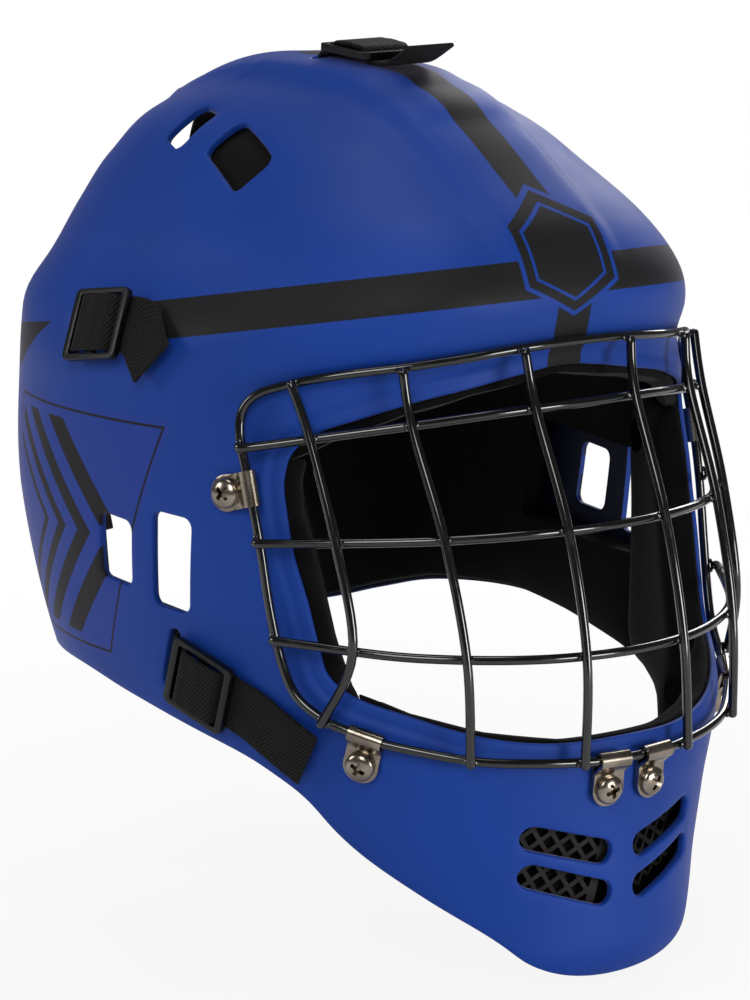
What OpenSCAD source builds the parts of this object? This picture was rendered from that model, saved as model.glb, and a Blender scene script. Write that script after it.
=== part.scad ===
// Floorball goalie helmet, millimetres. +Z is up as worn, the face looks along -Y.
// The origin is the middle of the head opening at the neck. Heights named here count from the chin.

/* [Shell] */
// height of the shell from chin to crown
shell_height = 298.5; // [290:0.5:310]
// height of the neck opening over the chin
opening_height = 90; // [84:1:96]
// half width of the shell at the ears
ear_half_width = 110; // [104:0.5:116]
// half width of the shell on the ridge round the brow
ridge_half_width = 106; // [101:0.5:110]
// reach of the chin in front of the middle of the head
chin_reach = 163; // [157:0.5:169]
// reach of the brow in front of the middle of the head
brow_reach = 132; // [128:0.5:137]
// reach of the shell behind the middle of the head
back_reach = 109; // [104:0.5:114]
// wall of the moulded shell
wall = 3; // [2.5:0.1:3.5]
// rise of the flat ridge that runs over the crown
crown_ridge_rise = 3; // [1:0.1:3.5]
// half width of the flat ridge over the crown
crown_ridge_half = 23; // [19:0.5:28]
// depth of the recessed band round the face opening
lip_depth = 1; // [0.5:0.1:1.4]
// width of the recessed band round the face opening
lip_width = 5; // [4:0.5:7]

/* [Face opening] */
// half width of the face opening
face_half_width = 90; // [86:0.5:92]
// height of the top edge of the face opening, on the centre line
face_top = 207; // [204:0.5:210]
// height of the bottom edge of the face opening, on the centre line
face_bottom = 86.5; // [84:0.5:89]
// corner radius of the face opening
face_corner = 13; // [9:0.5:17]

/* [Rear opening] */
// half width of the rear opening
rear_half_width = 52; // [49:0.5:56]
// height of the top of the rear opening
rear_top = 279; // [274:0.5:283]

/* [Vents] */
// radius of the round ends of the chin vents
chin_vent_radius = 4.3; // [3.6:0.1:4.8]
// height of the upper chin vents at their inner ends
chin_vent_height = 47.5; // [46:0.5:49]
// distance of the lower chin vents below the upper ones
chin_vent_pitch = 14.2; // [13.2:0.1:15]
// half length of the rear ear vents, up and down
ear_vent_rear_half = 11.5; // [9:0.5:13]
// half length of the front ear vents, up and down
ear_vent_front_half = 16.5; // [13:0.5:18]
// width of an ear vent
ear_vent_width = 17; // [14:0.5:18]

/* [Cage] */
// diameter of the cage wire
wire = 3.2; // [2.8:0.1:3.5]
// gap left between two wires where they are welded
weld_gap = 0.06; // [0.04:0.01:0.1]
// distance from the shell to the middle of the rim wire
rim_lift = 3; // [2.8:0.1:3.6]
// distance from the centre line to the inner uprights
upright_inner = 22; // [20:0.5:24]
// distance from the centre line to the middle uprights, at the top
upright_middle = 60; // [57:0.5:62]
// distance from the centre line to the outer uprights, at the top
upright_outer = 86; // [84:0.5:87]

/* [Clips and screws] */
// width of a clip
clip_width = 12; // [10:0.5:13]
// thickness of the sheet the clips are bent from
clip_sheet = 1; // [0.8:0.1:1.2]
// distance from a clip's screw to the wire it holds
clip_reach = 10.5; // [9.5:0.1:12]
// clearance round the wire in a clip
clip_clearance = 0.3; // [0.25:0.05:0.35]
// diameter of the screws
screw = 5; // [4:0.5:5.5]
// diameter of the screw heads
head = 10; // [9:0.5:10.5]
// width of the nuts across their flats
nut = 8; // [7:0.5:9]
// thickness of the nuts
nut_height = 3.5; // [3:0.1:4]
// clearance round the screws in clips and shell
screw_clearance = 0.2; // [0.1:0.05:0.4]

/* [Straps] */
// width of the webbing
webbing = 20; // [18:0.5:21]
// thickness of the webbing
webbing_thickness = 1.5; // [1.2:0.1:1.7]
// length of a buckle
buckle_length = 27; // [25:0.5:30]
// width of a bar of a buckle
buckle_bar = 3.4; // [3:0.1:3.8]
// thickness of a buckle
buckle_thickness = 2.6; // [2.2:0.1:3]
// room at each side of the webbing in buckles and slots
webbing_room = 0.6; // [0.3:0.1:1.5]
// gap between webbing and what it lies on
webbing_gap = 0.2; // [0.15:0.05:0.3]
// width of the slots in the shell
slot_width = 5; // [4.5:0.1:6]

/* [Lining and back plate] */
// thickness of the foam lining
foam = 10; // [7:0.5:12]
// gap between the foam and what it is glued to
foam_gap = 0.5; // [0.4:0.05:0.6]
// thickness of the back plate
plate = 2.5; // [2:0.1:3]
// half of the angle that the back plate spans
plate_half_angle = 24; // [20:0.5:26]
// height of the lower edge of the back plate
plate_bottom = 124; // [121:0.5:130]
// height of the upper edge of the back plate
plate_top = 238; // [232:0.5:242]
// thickness of the foam on the back plate
plate_foam = 9; // [6:0.5:11]

/* [Hidden] */

shell_blue = [0.13, 0.23, 0.58];
cage_black = [0.05, 0.05, 0.05];
nickel = [0.62, 0.6, 0.57];
foam_black = [0.09, 0.09, 0.1];
web_black = [0.12, 0.12, 0.12];
plastic_black = [0.07, 0.07, 0.07];

// the shell's sections, each with height, front, rear, half width and fullness
brow_height = 232;
crown_rise = shell_height - brow_height;
ridge_height = brow_height - 13;
sections = [
    [0, chin_reach - 7.5, back_reach - 70, ear_half_width - 37, 2.4],
    [10, chin_reach - 2, back_reach - 63, ear_half_width - 32, 2.25],
    [25, chin_reach - 1.5, back_reach - 53, ear_half_width - 26, 2.1],
    [55, chin_reach - 1.5, back_reach - 35, ear_half_width - 16, 2.1],
    [90, chin_reach, back_reach - 18, ear_half_width - 8, 2.2],
    [125, chin_reach - 8, back_reach - 6, ear_half_width - 3, 2.2],
    [160, chin_reach - 15, back_reach, ear_half_width, 2.15],
    [brow_height - 42, brow_reach + 5, back_reach - 2, ear_half_width + 0.5, 2.1],
    [brow_height - 25, brow_reach - 2, back_reach - 8, ridge_half_width + 4.5, 2.15],
    [ridge_height, brow_reach + 0.5, back_reach - 15, ridge_half_width, 2.4],
    [brow_height, brow_reach + 2.5, back_reach - 24, ridge_half_width - 11.5, 2.64],
    [brow_height + 0.26 * crown_rise, 0.93 * brow_reach, 0.72 * back_reach, 0.79 * ridge_half_width, 2.6],
    [brow_height + 0.51 * crown_rise, 0.765 * brow_reach, 0.69 * back_reach, 0.67 * ridge_half_width, 2.4],
    [brow_height + 0.73 * crown_rise, 0.605 * brow_reach, 0.61 * back_reach, 0.52 * ridge_half_width, 2.25],
    [brow_height + 0.89 * crown_rise, 0.46 * brow_reach, 0.43 * back_reach, 0.31 * ridge_half_width, 2.1],
    [brow_height + 0.98 * crown_rise, 0.24 * brow_reach, 0.2 * back_reach, 0.12 * ridge_half_width, 2],
    [shell_height, 10, -5, 1, 2]];

// middle of a section, where it is widest, at a height
function middle(h) = lookup(h, [[0, -44], [60, -27], [150, -8], [220, -4], [262, 0], [shell_height, -7.5]]);

// smooth curve through one column of the sections
function place_of(h, i = 0) = i >= len(sections) - 2 || h < sections[i + 1][0] ? i : place_of(h, i + 1);
function rise(i, k) = (sections[i + 1][k] - sections[i][k]) / (sections[i + 1][0] - sections[i][0]);
function slope(i, k) =
    i == 0 ? rise(0, k) : i == len(sections) - 1 ? rise(i - 1, k) :
    let(a = sections[i][0] - sections[i - 1][0], b = sections[i + 1][0] - sections[i][0])
    (b * rise(i - 1, k) + a * rise(i, k)) / (a + b);
function column(h, k) =
    let(i = place_of(h), d = sections[i + 1][0] - sections[i][0], t = (h - sections[i][0]) / d)
    (2 * t^3 - 3 * t^2 + 1) * sections[i][k] + (t^3 - 2 * t^2 + t) * d * slope(i, k)
    + (3 * t^2 - 2 * t^3) * sections[i + 1][k] + (t^3 - t^2) * d * slope(i + 1, k);
function section(h) =
    let(f = -column(h, 1), r = column(h, 2), c = min(max(middle(h), f + 1), r - 1))
    [f, r, max(column(h, 3), 0.6), c, max(column(h, 4), 1.8)];

function unit(v) = v / norm(v);
function soft(t) = let(u = min(max(t, 0), 1)) u * u * (3 - 2 * u);
function up(h) = h - opening_height;

// points of the outer surface: by angle and height, by side or front place, and on the crown
function ring_point(a, h, q = undef) =
    let(s = is_undef(q) ? section(h) : q, e = 2 / s[4], c = cos(a), n = sin(a))
    [s[2] * sign(c) * abs(c)^e, s[3] + (n < 0 ? s[3] - s[0] : s[1] - s[3]) * sign(n) * abs(n)^e, up(h)];
function front_point(x, h) =
    let(s = section(h))
    [x, s[3] - (s[3] - s[0]) * (max(1 - (abs(x) / s[2])^s[4], 0))^(1 / s[4]), up(h)];
function side_point(y, h) =
    let(s = section(h), l = y < s[3] ? s[3] - s[0] : s[1] - s[3])
    [s[2] * (max(1 - (abs(y - s[3]) / l)^s[4], 0))^(1 / s[4]), y, up(h)];
function outside(x, y, h) =
    let(s = section(h), l = y < s[3] ? s[3] - s[0] : s[1] - s[3])
    (abs(x) / s[2])^s[4] + (abs(y - s[3]) / l)^s[4] > 1;
function crown_height(x, y, lo = brow_height + 4, hi = shell_height, n = 18) =
    let(m = (lo + hi) / 2) n == 0 ? m : outside(x, y, m) ? crown_height(x, y, lo, m, n - 1)
    : crown_height(x, y, m, hi, n - 1);
function crown_point(x, y) = [x, y, up(crown_height(x, y))];

// outward normals of the same points
function ring_normal(a, h) =
    let(g = min(max(h, 0.6), shell_height - 0.3))
    unit(cross(ring_point(a + 1, g) - ring_point(a - 1, g), ring_point(a, g + 0.3) - ring_point(a, g - 0.3)));
function front_normal(x, h) =
    unit(cross(front_point(x + 0.5, h) - front_point(x - 0.5, h), front_point(x, h + 0.5) - front_point(x, h - 0.5)));
function side_normal(y, h) =
    unit(cross(side_point(y + 0.5, h) - side_point(y - 0.5, h), side_point(y, h + 0.5) - side_point(y, h - 0.5)));
function crown_normal(x, y) =
    unit(cross(crown_point(x + 1, y) - crown_point(x - 1, y), crown_point(x, y + 1) - crown_point(x, y - 1)));
function crown_ridge(x, h) =
    crown_ridge_rise * soft((crown_ridge_half + 3 - abs(x)) / 6) * soft((h - brow_height - 2) / 18);
function deep(a, h, depth) = ring_point(a, h) - depth * ring_normal(a, h);
function mirrored(v, side) = [side * v[0], v[1], v[2]];

// solids from points
module skin(rings, closed = false) {
    n = len(rings);
    m = len(rings[0]);
    points = [for (r = rings) each r];
    sides = [for (i = [0:1:n - (closed ? 1 : 2)], j = [0:1:m - 1])
        let(a = i * m + j, b = i * m + (j + 1) % m, c = ((i + 1) % n) * m + (j + 1) % m, d = ((i + 1) % n) * m + j)
        each [[a, c, b], [a, d, c]]];
    ends = closed ? [] : [[for (j = [0:1:m - 1]) j], [for (j = [m - 1:-1:0]) (n - 1) * m + j]];
    polyhedron(points = points, faces = concat(sides, ends), convexity = 8);
}

// solid between two equal grids of points, rows by columns
module slab(outer, inner) {
    n = len(outer);
    m = len(outer[0]);
    k = n * m;
    points = concat([for (r = outer) each r], [for (r = inner) each r]);
    faces = concat(
        [for (i = [0:1:n - 2], j = [0:1:m - 2]) let(a = i * m + j) each [[a, a + m + 1, a + 1], [a, a + m, a + m + 1]]],
        [for (i = [0:1:n - 2], j = [0:1:m - 2]) let(a = k + i * m + j) each [[a, a + 1, a + m + 1], [a, a + m + 1, a + m]]],
        [for (j = [0:1:m - 2]) let(a = j, b = j + 1) each [[a, b, k + b], [a, k + b, k + a]]],
        [for (j = [0:1:m - 2]) let(a = (n - 1) * m + j, b = a + 1) each [[b, a, k + a], [b, k + a, k + b]]],
        [for (i = [0:1:n - 2]) let(a = i * m, b = a + m) each [[b, a, k + a], [b, k + a, k + b]]],
        [for (i = [0:1:n - 2]) let(a = i * m + m - 1, b = a + m) each [[a, b, k + b], [a, k + b, k + a]]]);
    polyhedron(points = points, faces = faces, convexity = 6);
}

function bend(p, i, t) =
    let(n = len(p), a = p[max(i - 1, 0)], b = p[i], c = p[i + 1], d = p[min(i + 2, n - 1)])
    0.5 * (2 * b + (c - a) * t + (2 * a - 5 * b + 4 * c - d) * t^2 + (3 * b - 3 * c + d - a) * t^3);
function curve(p, steps) =
    concat([for (i = [0:1:len(p) - 2], k = [0:1:steps - 1]) bend(p, i, k / steps)], [p[len(p) - 1]]);
function loop(p, steps) =
    let(n = len(p)) [for (i = [0:1:n - 1], k = [0:1:steps - 1])
        bend([p[(i + n - 1) % n], p[i], p[(i + 1) % n], p[(i + 2) % n]], 1, k / steps)];
function heading(p, i, closed = false) =
    let(n = len(p)) unit(closed ? p[(i + 1) % n] - p[(i + n - 1) % n] : p[min(i + 1, n - 1)] - p[max(i - 1, 0)]);

// round wire along a path, with its first corner turned outwards from the head
module wire_along(path, closed = false, sides = 8) {
    rings = [for (i = [0:1:len(path) - 1])
        let(t = heading(path, i, closed), o = unit(path[i] - [0, 40, path[i][2]]),
            u = unit(o - (o * t) * t), v = cross(t, u))
        [for (k = [0:1:sides - 1]) path[i] + wire / 2 * (cos(360 * k / sides) * u + sin(360 * k / sides) * v)]];
    skin(rings, closed);
}

// flat webbing along a path, given the normal at each point, with room round it for a channel
module webbing_along(path, normals, room = 0) {
    rings = [for (i = [0:1:len(path) - 1])
        let(t = heading(path, i), w = unit(cross(normals[i], t)), n = cross(t, w),
            a = (webbing / 2 + room) * w, b = (webbing_thickness / 2 + room) * n)
        [path[i] - a - b, path[i] + a - b, path[i] + a + b, path[i] - a + b]];
    skin(rings);
}

module place_at(f) {
    multmatrix([[f[1][0], f[2][0], f[3][0], f[0][0]], [f[1][1], f[2][1], f[3][1], f[0][1]],
        [f[1][2], f[2][2], f[3][2], f[0][2]], [0, 0, 0, 1]]) children();
}

// shell
// heights of the rings, closer together over the ridge round the brow and near the top
function levels(n, top) =
    let(a = round(0.41 * n), b = round(0.29 * n), c = n - a - b, low = ridge_height - 25, high = ridge_height + 21)
    concat([for (i = [0:1:a - 1]) 0.2 + (low - 0.2) * i / a], [for (i = [0:1:b - 1]) low + (high - low) * i / b],
        [for (i = [0:1:c]) high + (top - high) * (1 - (1 - i / c)^1.8)]);
module loft(depth, around, rows, ridge = false) {
    top = shell_height - max(depth, 0) - (depth > 0 ? 0.1 : 0);
    rings = [for (h = levels(rows, shell_height - 0.15))
        let(q = section(h)) [for (j = [0:1:around - 1])
            let(a = 360 * (j + 0.5) / around, p = ring_point(a, h, q), n = ring_normal(a, h),
                lift = (ridge ? crown_ridge(p[0], h) : 0) - depth) p + lift * n]];
    low = [for (p = rings[0]) [p[0], p[1], up(-4)]];
    skin(concat(depth > 0 ? [low] : [], rings));
}

jaw_edge = [[-175, -2], [-159, 0], [-157, 4], [-153, 10.5], [-146, 19.5], [-129, 33], [-114, 45], [-105, 54],
    [-97, 64], [-88, 70.5], [-74, 77], [-50, 83], [-20, 89], [10, 93.5], [45, 93], [62, 89], [76, 84.5], [100, 82]];
module jaw_cut() {
    edge = curve(jaw_edge, 2);
    rotate([90, 0, 90]) linear_extrude(400, center = true)
        polygon(concat([for (p = edge) [p[0], up(p[1])]], [[160, up(82)], [160, up(-30)], [-220, up(-30)], [-220, up(-3)]]));
}

// one side of the face opening, from the top edge down to the bottom edge, with its rounded corners
function face_side(side) =
    let(w = face_half_width, c = face_corner, t = face_top, b = face_bottom)
    [for (p = [[0, t], [17, t - 1.6], [35, t - 4.5], [w - 33, t - 9], [w - 12, t - 17], [w - 4, t - 24],
        [w - 1, t - 32], [w, t - 41], [w - 0.4, t - 58], [w - 2.4, b + 46], [w - 4, b + 31.5 + 0.3 * (c - 13)],
        [w - 5.6, b + 21.5 + 0.5 * (c - 13)], [w - 11, b + 15], [w - 21, b + 10.5], [w - 35, b + 5], [w - 49, b + 1.7],
        [24, b], [0, b]]) [side * p[0], up(p[1])]];
face_line = let(r = face_side(1), l = face_side(-1))
    concat([for (p = r) p], [for (i = [len(l) - 2:-1:1]) l[i]]);
module face_cut() {
    translate([0, -20, 0]) rotate([90, 0, 0]) linear_extrude(200) polygon(loop(face_line, 2));
}
module lip_cut() {
    difference() {
        translate([0, -20, 0]) rotate([90, 0, 0]) linear_extrude(200) offset(delta = lip_width) polygon(loop(face_line, 2));
        loft(lip_depth, 72, 32);
    }
}

module rear_cut() {
    translate([0, 200, 0]) rotate([90, 0, 0]) linear_extrude(178) hull() {
        for (s = [-1, 1]) {
            translate([s * (rear_half_width - 6), up(60)]) circle(6, $fn = 12);
            translate([s * (rear_half_width - 20), up(rear_top - 40)]) circle(20, $fn = 20);
            translate([s * (rear_half_width - 34), up(rear_top - 22)]) circle(22, $fn = 20);
        }
    }
}

// rounded window through the two sides of the shell, its middle at y and a height
module side_window(y, h, width, half, lean = 0) {
    r = 3.5;
    translate([0, y, up(h)]) rotate([lean, 0, 0]) hull()
        for (a = [-1, 1], b = [-1, 1]) translate([0, a * (width / 2 - r), b * (half - r)])
            rotate([0, 90, 0]) cylinder(r = r, h = 400, center = true, $fn = 16);
}

// window down through the crown, from its corners in plan
module crown_window(corners, r = 3) {
    for (s = [-1, 1]) hull()
        for (c = corners) translate([s * c[0], c[1], up(242)]) cylinder(r = r, h = 80, $fn = 16);
}

// pair of chin vents, one above the other, on one side
module chin_vents(side) {
    for (k = [0, 1]) hull() for (e = [[9, 0], [33, 6.6 + k]])
        translate([side * e[0], -chin_reach + 45, up(chin_vent_height - k * chin_vent_pitch + e[1])])
            rotate([90, 0, 0]) cylinder(r = chin_vent_radius, h = 80, $fn = 16);
}

module shell() {
    color(shell_blue) difference() {
        loft(0, 72, 32, true);
        loft(wall, 44, 26);
        jaw_cut();
        face_cut();
        rear_cut();
        lip_cut();
        side_window(-22, 140.5, ear_vent_width, ear_vent_rear_half, 5);
        side_window(-50, 140, ear_vent_width, ear_vent_front_half, 4);
        crown_window([[60.5, 8], [50, 8], [52, 0], [62.5, 1]]);
        crown_window([[63, -19], [55, -21], [61.5, -43.5], [68.5, -40.5]]);
        chin_vents(1);
        chin_vents(-1);
        for (i = [0:4]) strap_slot(i);
        for (c = clip_sites) place_at(clip_frame(c))
            cylinder(d = screw + 2 * screw_clearance, h = 20, center = true, $fn = 16);
    }
}

// chin mesh, a moulded lattice behind each pair of chin vents
mesh_thickness = 1.6;
mesh_pitch = 7;
mesh_bar = 1.5;
mesh_rim = 3;
mesh_inner = 6.5;
mesh_outer = 40;
mesh_slope = 0.22;
// bow of the shell between the ends of a lattice, kept clear behind it
mesh_bow = 1.9;
mesh_low = chin_vent_height - chin_vent_pitch - 3 * chin_vent_radius / 2 - 2;
mesh_tall = chin_vent_pitch + 2 * chin_vent_radius + 9;
module chin_mesh(side) {
    a = front_point(mesh_inner, mesh_low + mesh_tall / 2);
    b = front_point(mesh_outer, mesh_low + mesh_tall / 2 + mesh_slope * mesh_outer);
    width = norm(b - a);
    x = unit(b - a);
    n = unit(cross(x, front_point(20, 54) - front_point(20, 34)));
    z = cross(n, x);
    base = a - (wall + mesh_bow) * n - mesh_tall / 2 * z;
    color(plastic_black) scale([side, 1, 1])
        multmatrix([[x[0], z[0], n[0], base[0]], [x[1], z[1], n[1], base[1]], [x[2], z[2], n[2], base[2]], [0, 0, 0, 1]])
            translate([0, 0, -mesh_thickness]) linear_extrude(mesh_thickness) difference() {
                square([width, mesh_tall]);
                intersection() {
                    translate([mesh_rim, mesh_rim]) square([width - 2 * mesh_rim, mesh_tall - 2 * mesh_rim]);
                    for (i = [0:1:ceil(2 * width / mesh_pitch)], j = [0:1:ceil(2 * mesh_tall / mesh_pitch)])
                        if ((i + j) % 2 == 0) translate([i * mesh_pitch / 2, j * mesh_pitch / 2])
                            circle(mesh_pitch / 2 - mesh_bar * 0.71, $fn = 4);
                }
            }
}
module chin_mesh_right() { chin_mesh(-1); }
module chin_mesh_left() { chin_mesh(1); }

// cage
layer = wire + weld_gap;
rim_top = 216.5;
rim_bottom = 80.5;
temple_height = 169;
jaw_clip_x = 76;
chin_clip_x = 9;
rim_half = [[0, rim_top], [upright_inner, rim_top - 0.6], [42, rim_top - 2.6], [upright_middle - 1.5, rim_top - 5],
    [upright_outer - 13, rim_top - 8], [upright_outer - 2.5, rim_top - 12], [91.6, 199], [94.5, 189], [94.4, temple_height],
    [93.6, 150], [92.6, 130], [90.8, 112], [88.4, 101.5], [83.8, 94.8], [80.4, 92.4],
    [jaw_clip_x, 90], [jaw_clip_x - 5, 88], [upright_middle - 6.5, 83.8],
    [38, 82.2], [upright_inner - 1, 81], [chin_clip_x, rim_bottom]];
function rim_at(e, side) =
    mirrored(front_point(e[0], e[1]) + (rim_lift + rim_rise(e[1])) * front_normal(e[0], e[1]), side);
// the rim stands a little further off beside and below the opening than under the brow
function rim_rise(h) = 0.7 * soft((205 - h) / 25);
function rim_out(e, side) = mirrored(front_normal(e[0], e[1]), side);
rim_path = loop(concat([for (e = rim_half) rim_at(e, 1)],
    [for (i = [len(rim_half) - 1:-1:1]) rim_at(rim_half[i], -1)]), 2);
module cage_rim() { color(cage_black) wire_along(rim_path, true); }

// crossbars: height and reach on the centre line, drop and depth at the sides, height of the end
crossbars = [[195.6, brow_reach + 7.6, -12.5, 86, 183], [156.8, chin_reach - 7, -4, 93, 152.5],
    [116.2, chin_reach + 3, 3.5, 96, 120.5]];
function bar_point(k, x) =
    let(b = crossbars[k], t = min(abs(x) / 98, 0.99))
    [x, b[3] * (1 - (1 - t^1.95)^0.513) - b[1], up(b[0] + b[2] * (abs(x) / 96)^2.3)];
function rim_edge(h) = lookup(h, [for (i = [11:-1:7]) [rim_half[i][1], rim_half[i][0]]]);
function bar_end(k, side) =
    let(h = crossbars[k][4], e = [rim_edge(h), h], p = rim_at(e, 1) + layer * rim_out(e, 1),
        t = unit(cross([0, 0, 1], rim_out(e, 1))))
    [for (q = [p - 5 * t, p, p + 1.2 * t]) mirrored(q, side)];
function bar_path(k) =
    let(r = bar_end(k, 1), l = bar_end(k, -1))
    concat([l[2]], curve(concat([l[1], l[0]], [for (x = [-76, -60, -41, -upright_inner, 0, upright_inner, 41, 60, 76])
        bar_point(k, x)], [r[0], r[1]]), 2), [r[2]]);
module cage_crossbars() { color(cage_black) for (k = [0:2]) wire_along(bar_path(k)); }

// uprights: distance from the centre line at the top, at each crossbar and at the bottom
uprights = [
    [upright_inner, upright_inner - 0.8, upright_inner - 1.4, upright_inner - 1.3, upright_inner],
    [upright_middle, upright_middle - 1, upright_middle - 2.2, upright_middle - 3.5, upright_middle - 4],
    [upright_outer, upright_outer - 2.2, upright_outer - 3.2, upright_outer - 4, 83]];
rim_index = [[1, 19], [3, 17], [5, 13]];
function bar_on(k, x) =
    let(p = bar_path(k), n = len(p), i = [for (j = [0:1:n - 2]) if (p[j][0] <= x && p[j + 1][0] > x) j][0],
        t = (x - p[i][0]) / (p[i + 1][0] - p[i][0]))
    [p[i] + t * (p[i + 1] - p[i]), unit(p[i + 1] - p[i])];
function upright_path(u) =
    let(x = uprights[u], top = rim_half[rim_index[u][0]], low = rim_half[rim_index[u][1]],
        a = rim_at(top, 1) + layer * rim_out(top, 1), z = rim_at(low, 1) + layer * rim_out(low, 1),
        c = [for (k = [0:2]) bar_on(k, x[k + 1])],
        run = [a, c[0][0], c[1][0], c[2][0], z],
        m = [for (k = [0:2]) let(t = unit(run[k + 2] - run[k]), n = unit(cross(c[k][1], t)))
            c[k][0] + layer * (n[1] > 0 ? -1 : 1) * n],
        first = a + 1.6 * unit(a - m[0]), last = z + 1.8 * unit(z - m[2]))
    concat([first], curve([a, m[0], m[1], m[2], z], 2), [last]);
module cage_uprights() {
    color(cage_black) for (u = [0:2], s = [-1, 1]) wire_along([for (p = upright_path(u)) mirrored(p, s)]);
}

// clips: which side, place on the rim, and whether the screw lies behind or below the wire
clip_sites = [[-1, 8], [1, 8], [-1, 15], [1, 15], [-1, 20], [1, 20]];
function clip_frame(c) =
    let(i = c[1], e = rim_half[i], base = front_point(e[0], e[1]), n = front_normal(e[0], e[1]),
        r = rim_at(e, 1), t = unit(rim_at(rim_half[i - 1], 1) - (i == len(rim_half) - 1 ? rim_at(e, -1) : rim_at(rim_half[i + 1], 1))),
        d = unit(cross(n, t)), far = base + (i < 10 ? clip_reach - 1.5 : clip_reach) * (d * (base - [0, -150, up(150)]) > 0 ? d : -d),
        h = far[2] + opening_height, s = front_point(far[0], h), m = front_normal(far[0], h),
        x = unit(t - (t * m) * m), y = cross(m, x), w = r - s)
    [mirrored(s, c[0]), mirrored(x, c[0]), mirrored(y, c[0]), mirrored(m, c[0]), [w * y, w * m]];
module clip(i) {
    f = clip_frame(clip_sites[i]);
    y = f[4][0];
    z = f[4][1];
    bore = wire / 2 + clip_clearance;
    out = bore + clip_sheet;
    s = sign(y);
    color(nickel) place_at(f) difference() {
        union() {
            translate([0, 0, 0.05]) cylinder(d = clip_width, h = 2 * clip_sheet, $fn = 40);
            translate([-clip_width / 2, min(0, y), 0.05]) cube([clip_width, abs(y), 2 * clip_sheet]);
            translate([0, y, z]) rotate([0, 90, 0]) cylinder(r = out, h = clip_width, center = true, $fn = 32);
        }
        translate([0, y, z]) rotate([0, 90, 0]) cylinder(r = bore, h = clip_width + 2, center = true, $fn = 32);
        translate([0, 0, -1]) cylinder(d = screw + 2 * screw_clearance, h = 8, $fn = 24);
        translate([-clip_width / 2 - 1, s > 0 ? y : y - out - 1, -3]) cube([clip_width + 2, out + 1, max(z, 1) + 3 - bore - clip_sheet]);
    }
}
module clip_temple_right() { clip(0); }
module clip_temple_left() { clip(1); }
module clip_jaw_right() { clip(2); }
module clip_jaw_left() { clip(3); }
module clip_chin_right() { clip(4); }
module clip_chin_left() { clip(5); }

// pan head screws with a cross recess, their heads on the clips
screw_length = 2 * clip_sheet + wall + nut_height + 1;
module clip_screws() {
    seat = 2 * clip_sheet + 0.1;
    color(nickel) for (c = clip_sites) place_at(clip_frame(c)) difference() {
        union() {
            translate([0, 0, seat - screw_length]) cylinder(d = screw - 0.02, h = screw_length, $fn = 24);
            translate([0, 0, seat]) rotate_extrude($fn = 32)
                polygon([[0, 0], [head / 2, 0], [head / 2, 0.9], [head / 2 - 0.5, 1.9], [head / 2 - 1.7, 2.7], [head / 4 - 0.4, 3.2], [0, 3.3]]);
        }
        for (a = [45, 135]) rotate([0, 0, a]) translate([-2.6, -0.55, seat + 1.5]) cube([5.2, 1.1, 3]);
    }
}
// gap between a nut and the curved inside of the shell
nut_seat = 0.6;
module clip_nuts() {
    color(nickel) for (c = clip_sites) place_at(clip_frame(c))
        translate([0, 0, -wall - nut_seat - nut_height]) difference() {
            cylinder(d = nut / cos(30), h = nut_height, $fn = 6);
            translate([0, 0, -1]) cylinder(d = screw + 0.08, h = nut_height + 2, $fn = 24);
        }
}

// straps: side, y and height of the slot, and the way the webbing leaves it
strap_sites = [["top", 0, -7, 0, 0, 0], ["side", -1, 1, brow_height - 18.5, 8, -78], ["side", 1, 1, brow_height - 18.5, 8, -78],
    ["side", -1, -46.5, 106, -20, -26], ["side", 1, -46.5, 106, -20, -26]];
strap_ends = [47, 46, 46, 59, 59];
buckle_at = slot_width / 2 + 1 + buckle_length / 2;
tail_from = buckle_at + buckle_length / 2 + 1;
function strap_place(i, s) =
    let(c = strap_sites[i], t = max(s - tail_from, 0), a = c[4] + c[5] * t / 40, b = min(s, tail_from))
    [c[2] - b * cos(c[4]) - t * cos(a), c[3] + b * sin(c[4]) + t * sin(a)];
function strap_point(i, s) =
    let(c = strap_sites[i], p = strap_place(i, s))
    c[0] == "top" ? crown_point(0, p[0]) + [0, 0, crown_ridge_rise] : mirrored(side_point(p[0], p[1]), c[1]);
function strap_normal(i, s) =
    let(c = strap_sites[i], p = strap_place(i, s))
    c[0] == "top" ? crown_normal(0, p[0]) : mirrored(side_normal(p[0], p[1]), c[1]);
function strap_frame(i, s) =
    let(n = strap_normal(i, s), d = strap_point(i, s + 1) - strap_point(i, s - 1), t = unit(d - (d * n) * n))
    [strap_point(i, s), t, cross(n, t), n];
function strap_local(f, s, h) = f[0] + s * f[1] + h * f[3];

module strap_slot(i) {
    f = strap_frame(i, 0);
    w = webbing / 2 + webbing_room - slot_width / 2 + 1;
    place_at(f) hull() for (k = [-1, 1]) translate([0, k * w, 0]) cylinder(d = slot_width, h = 24, center = true, $fn = 12);
}

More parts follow.
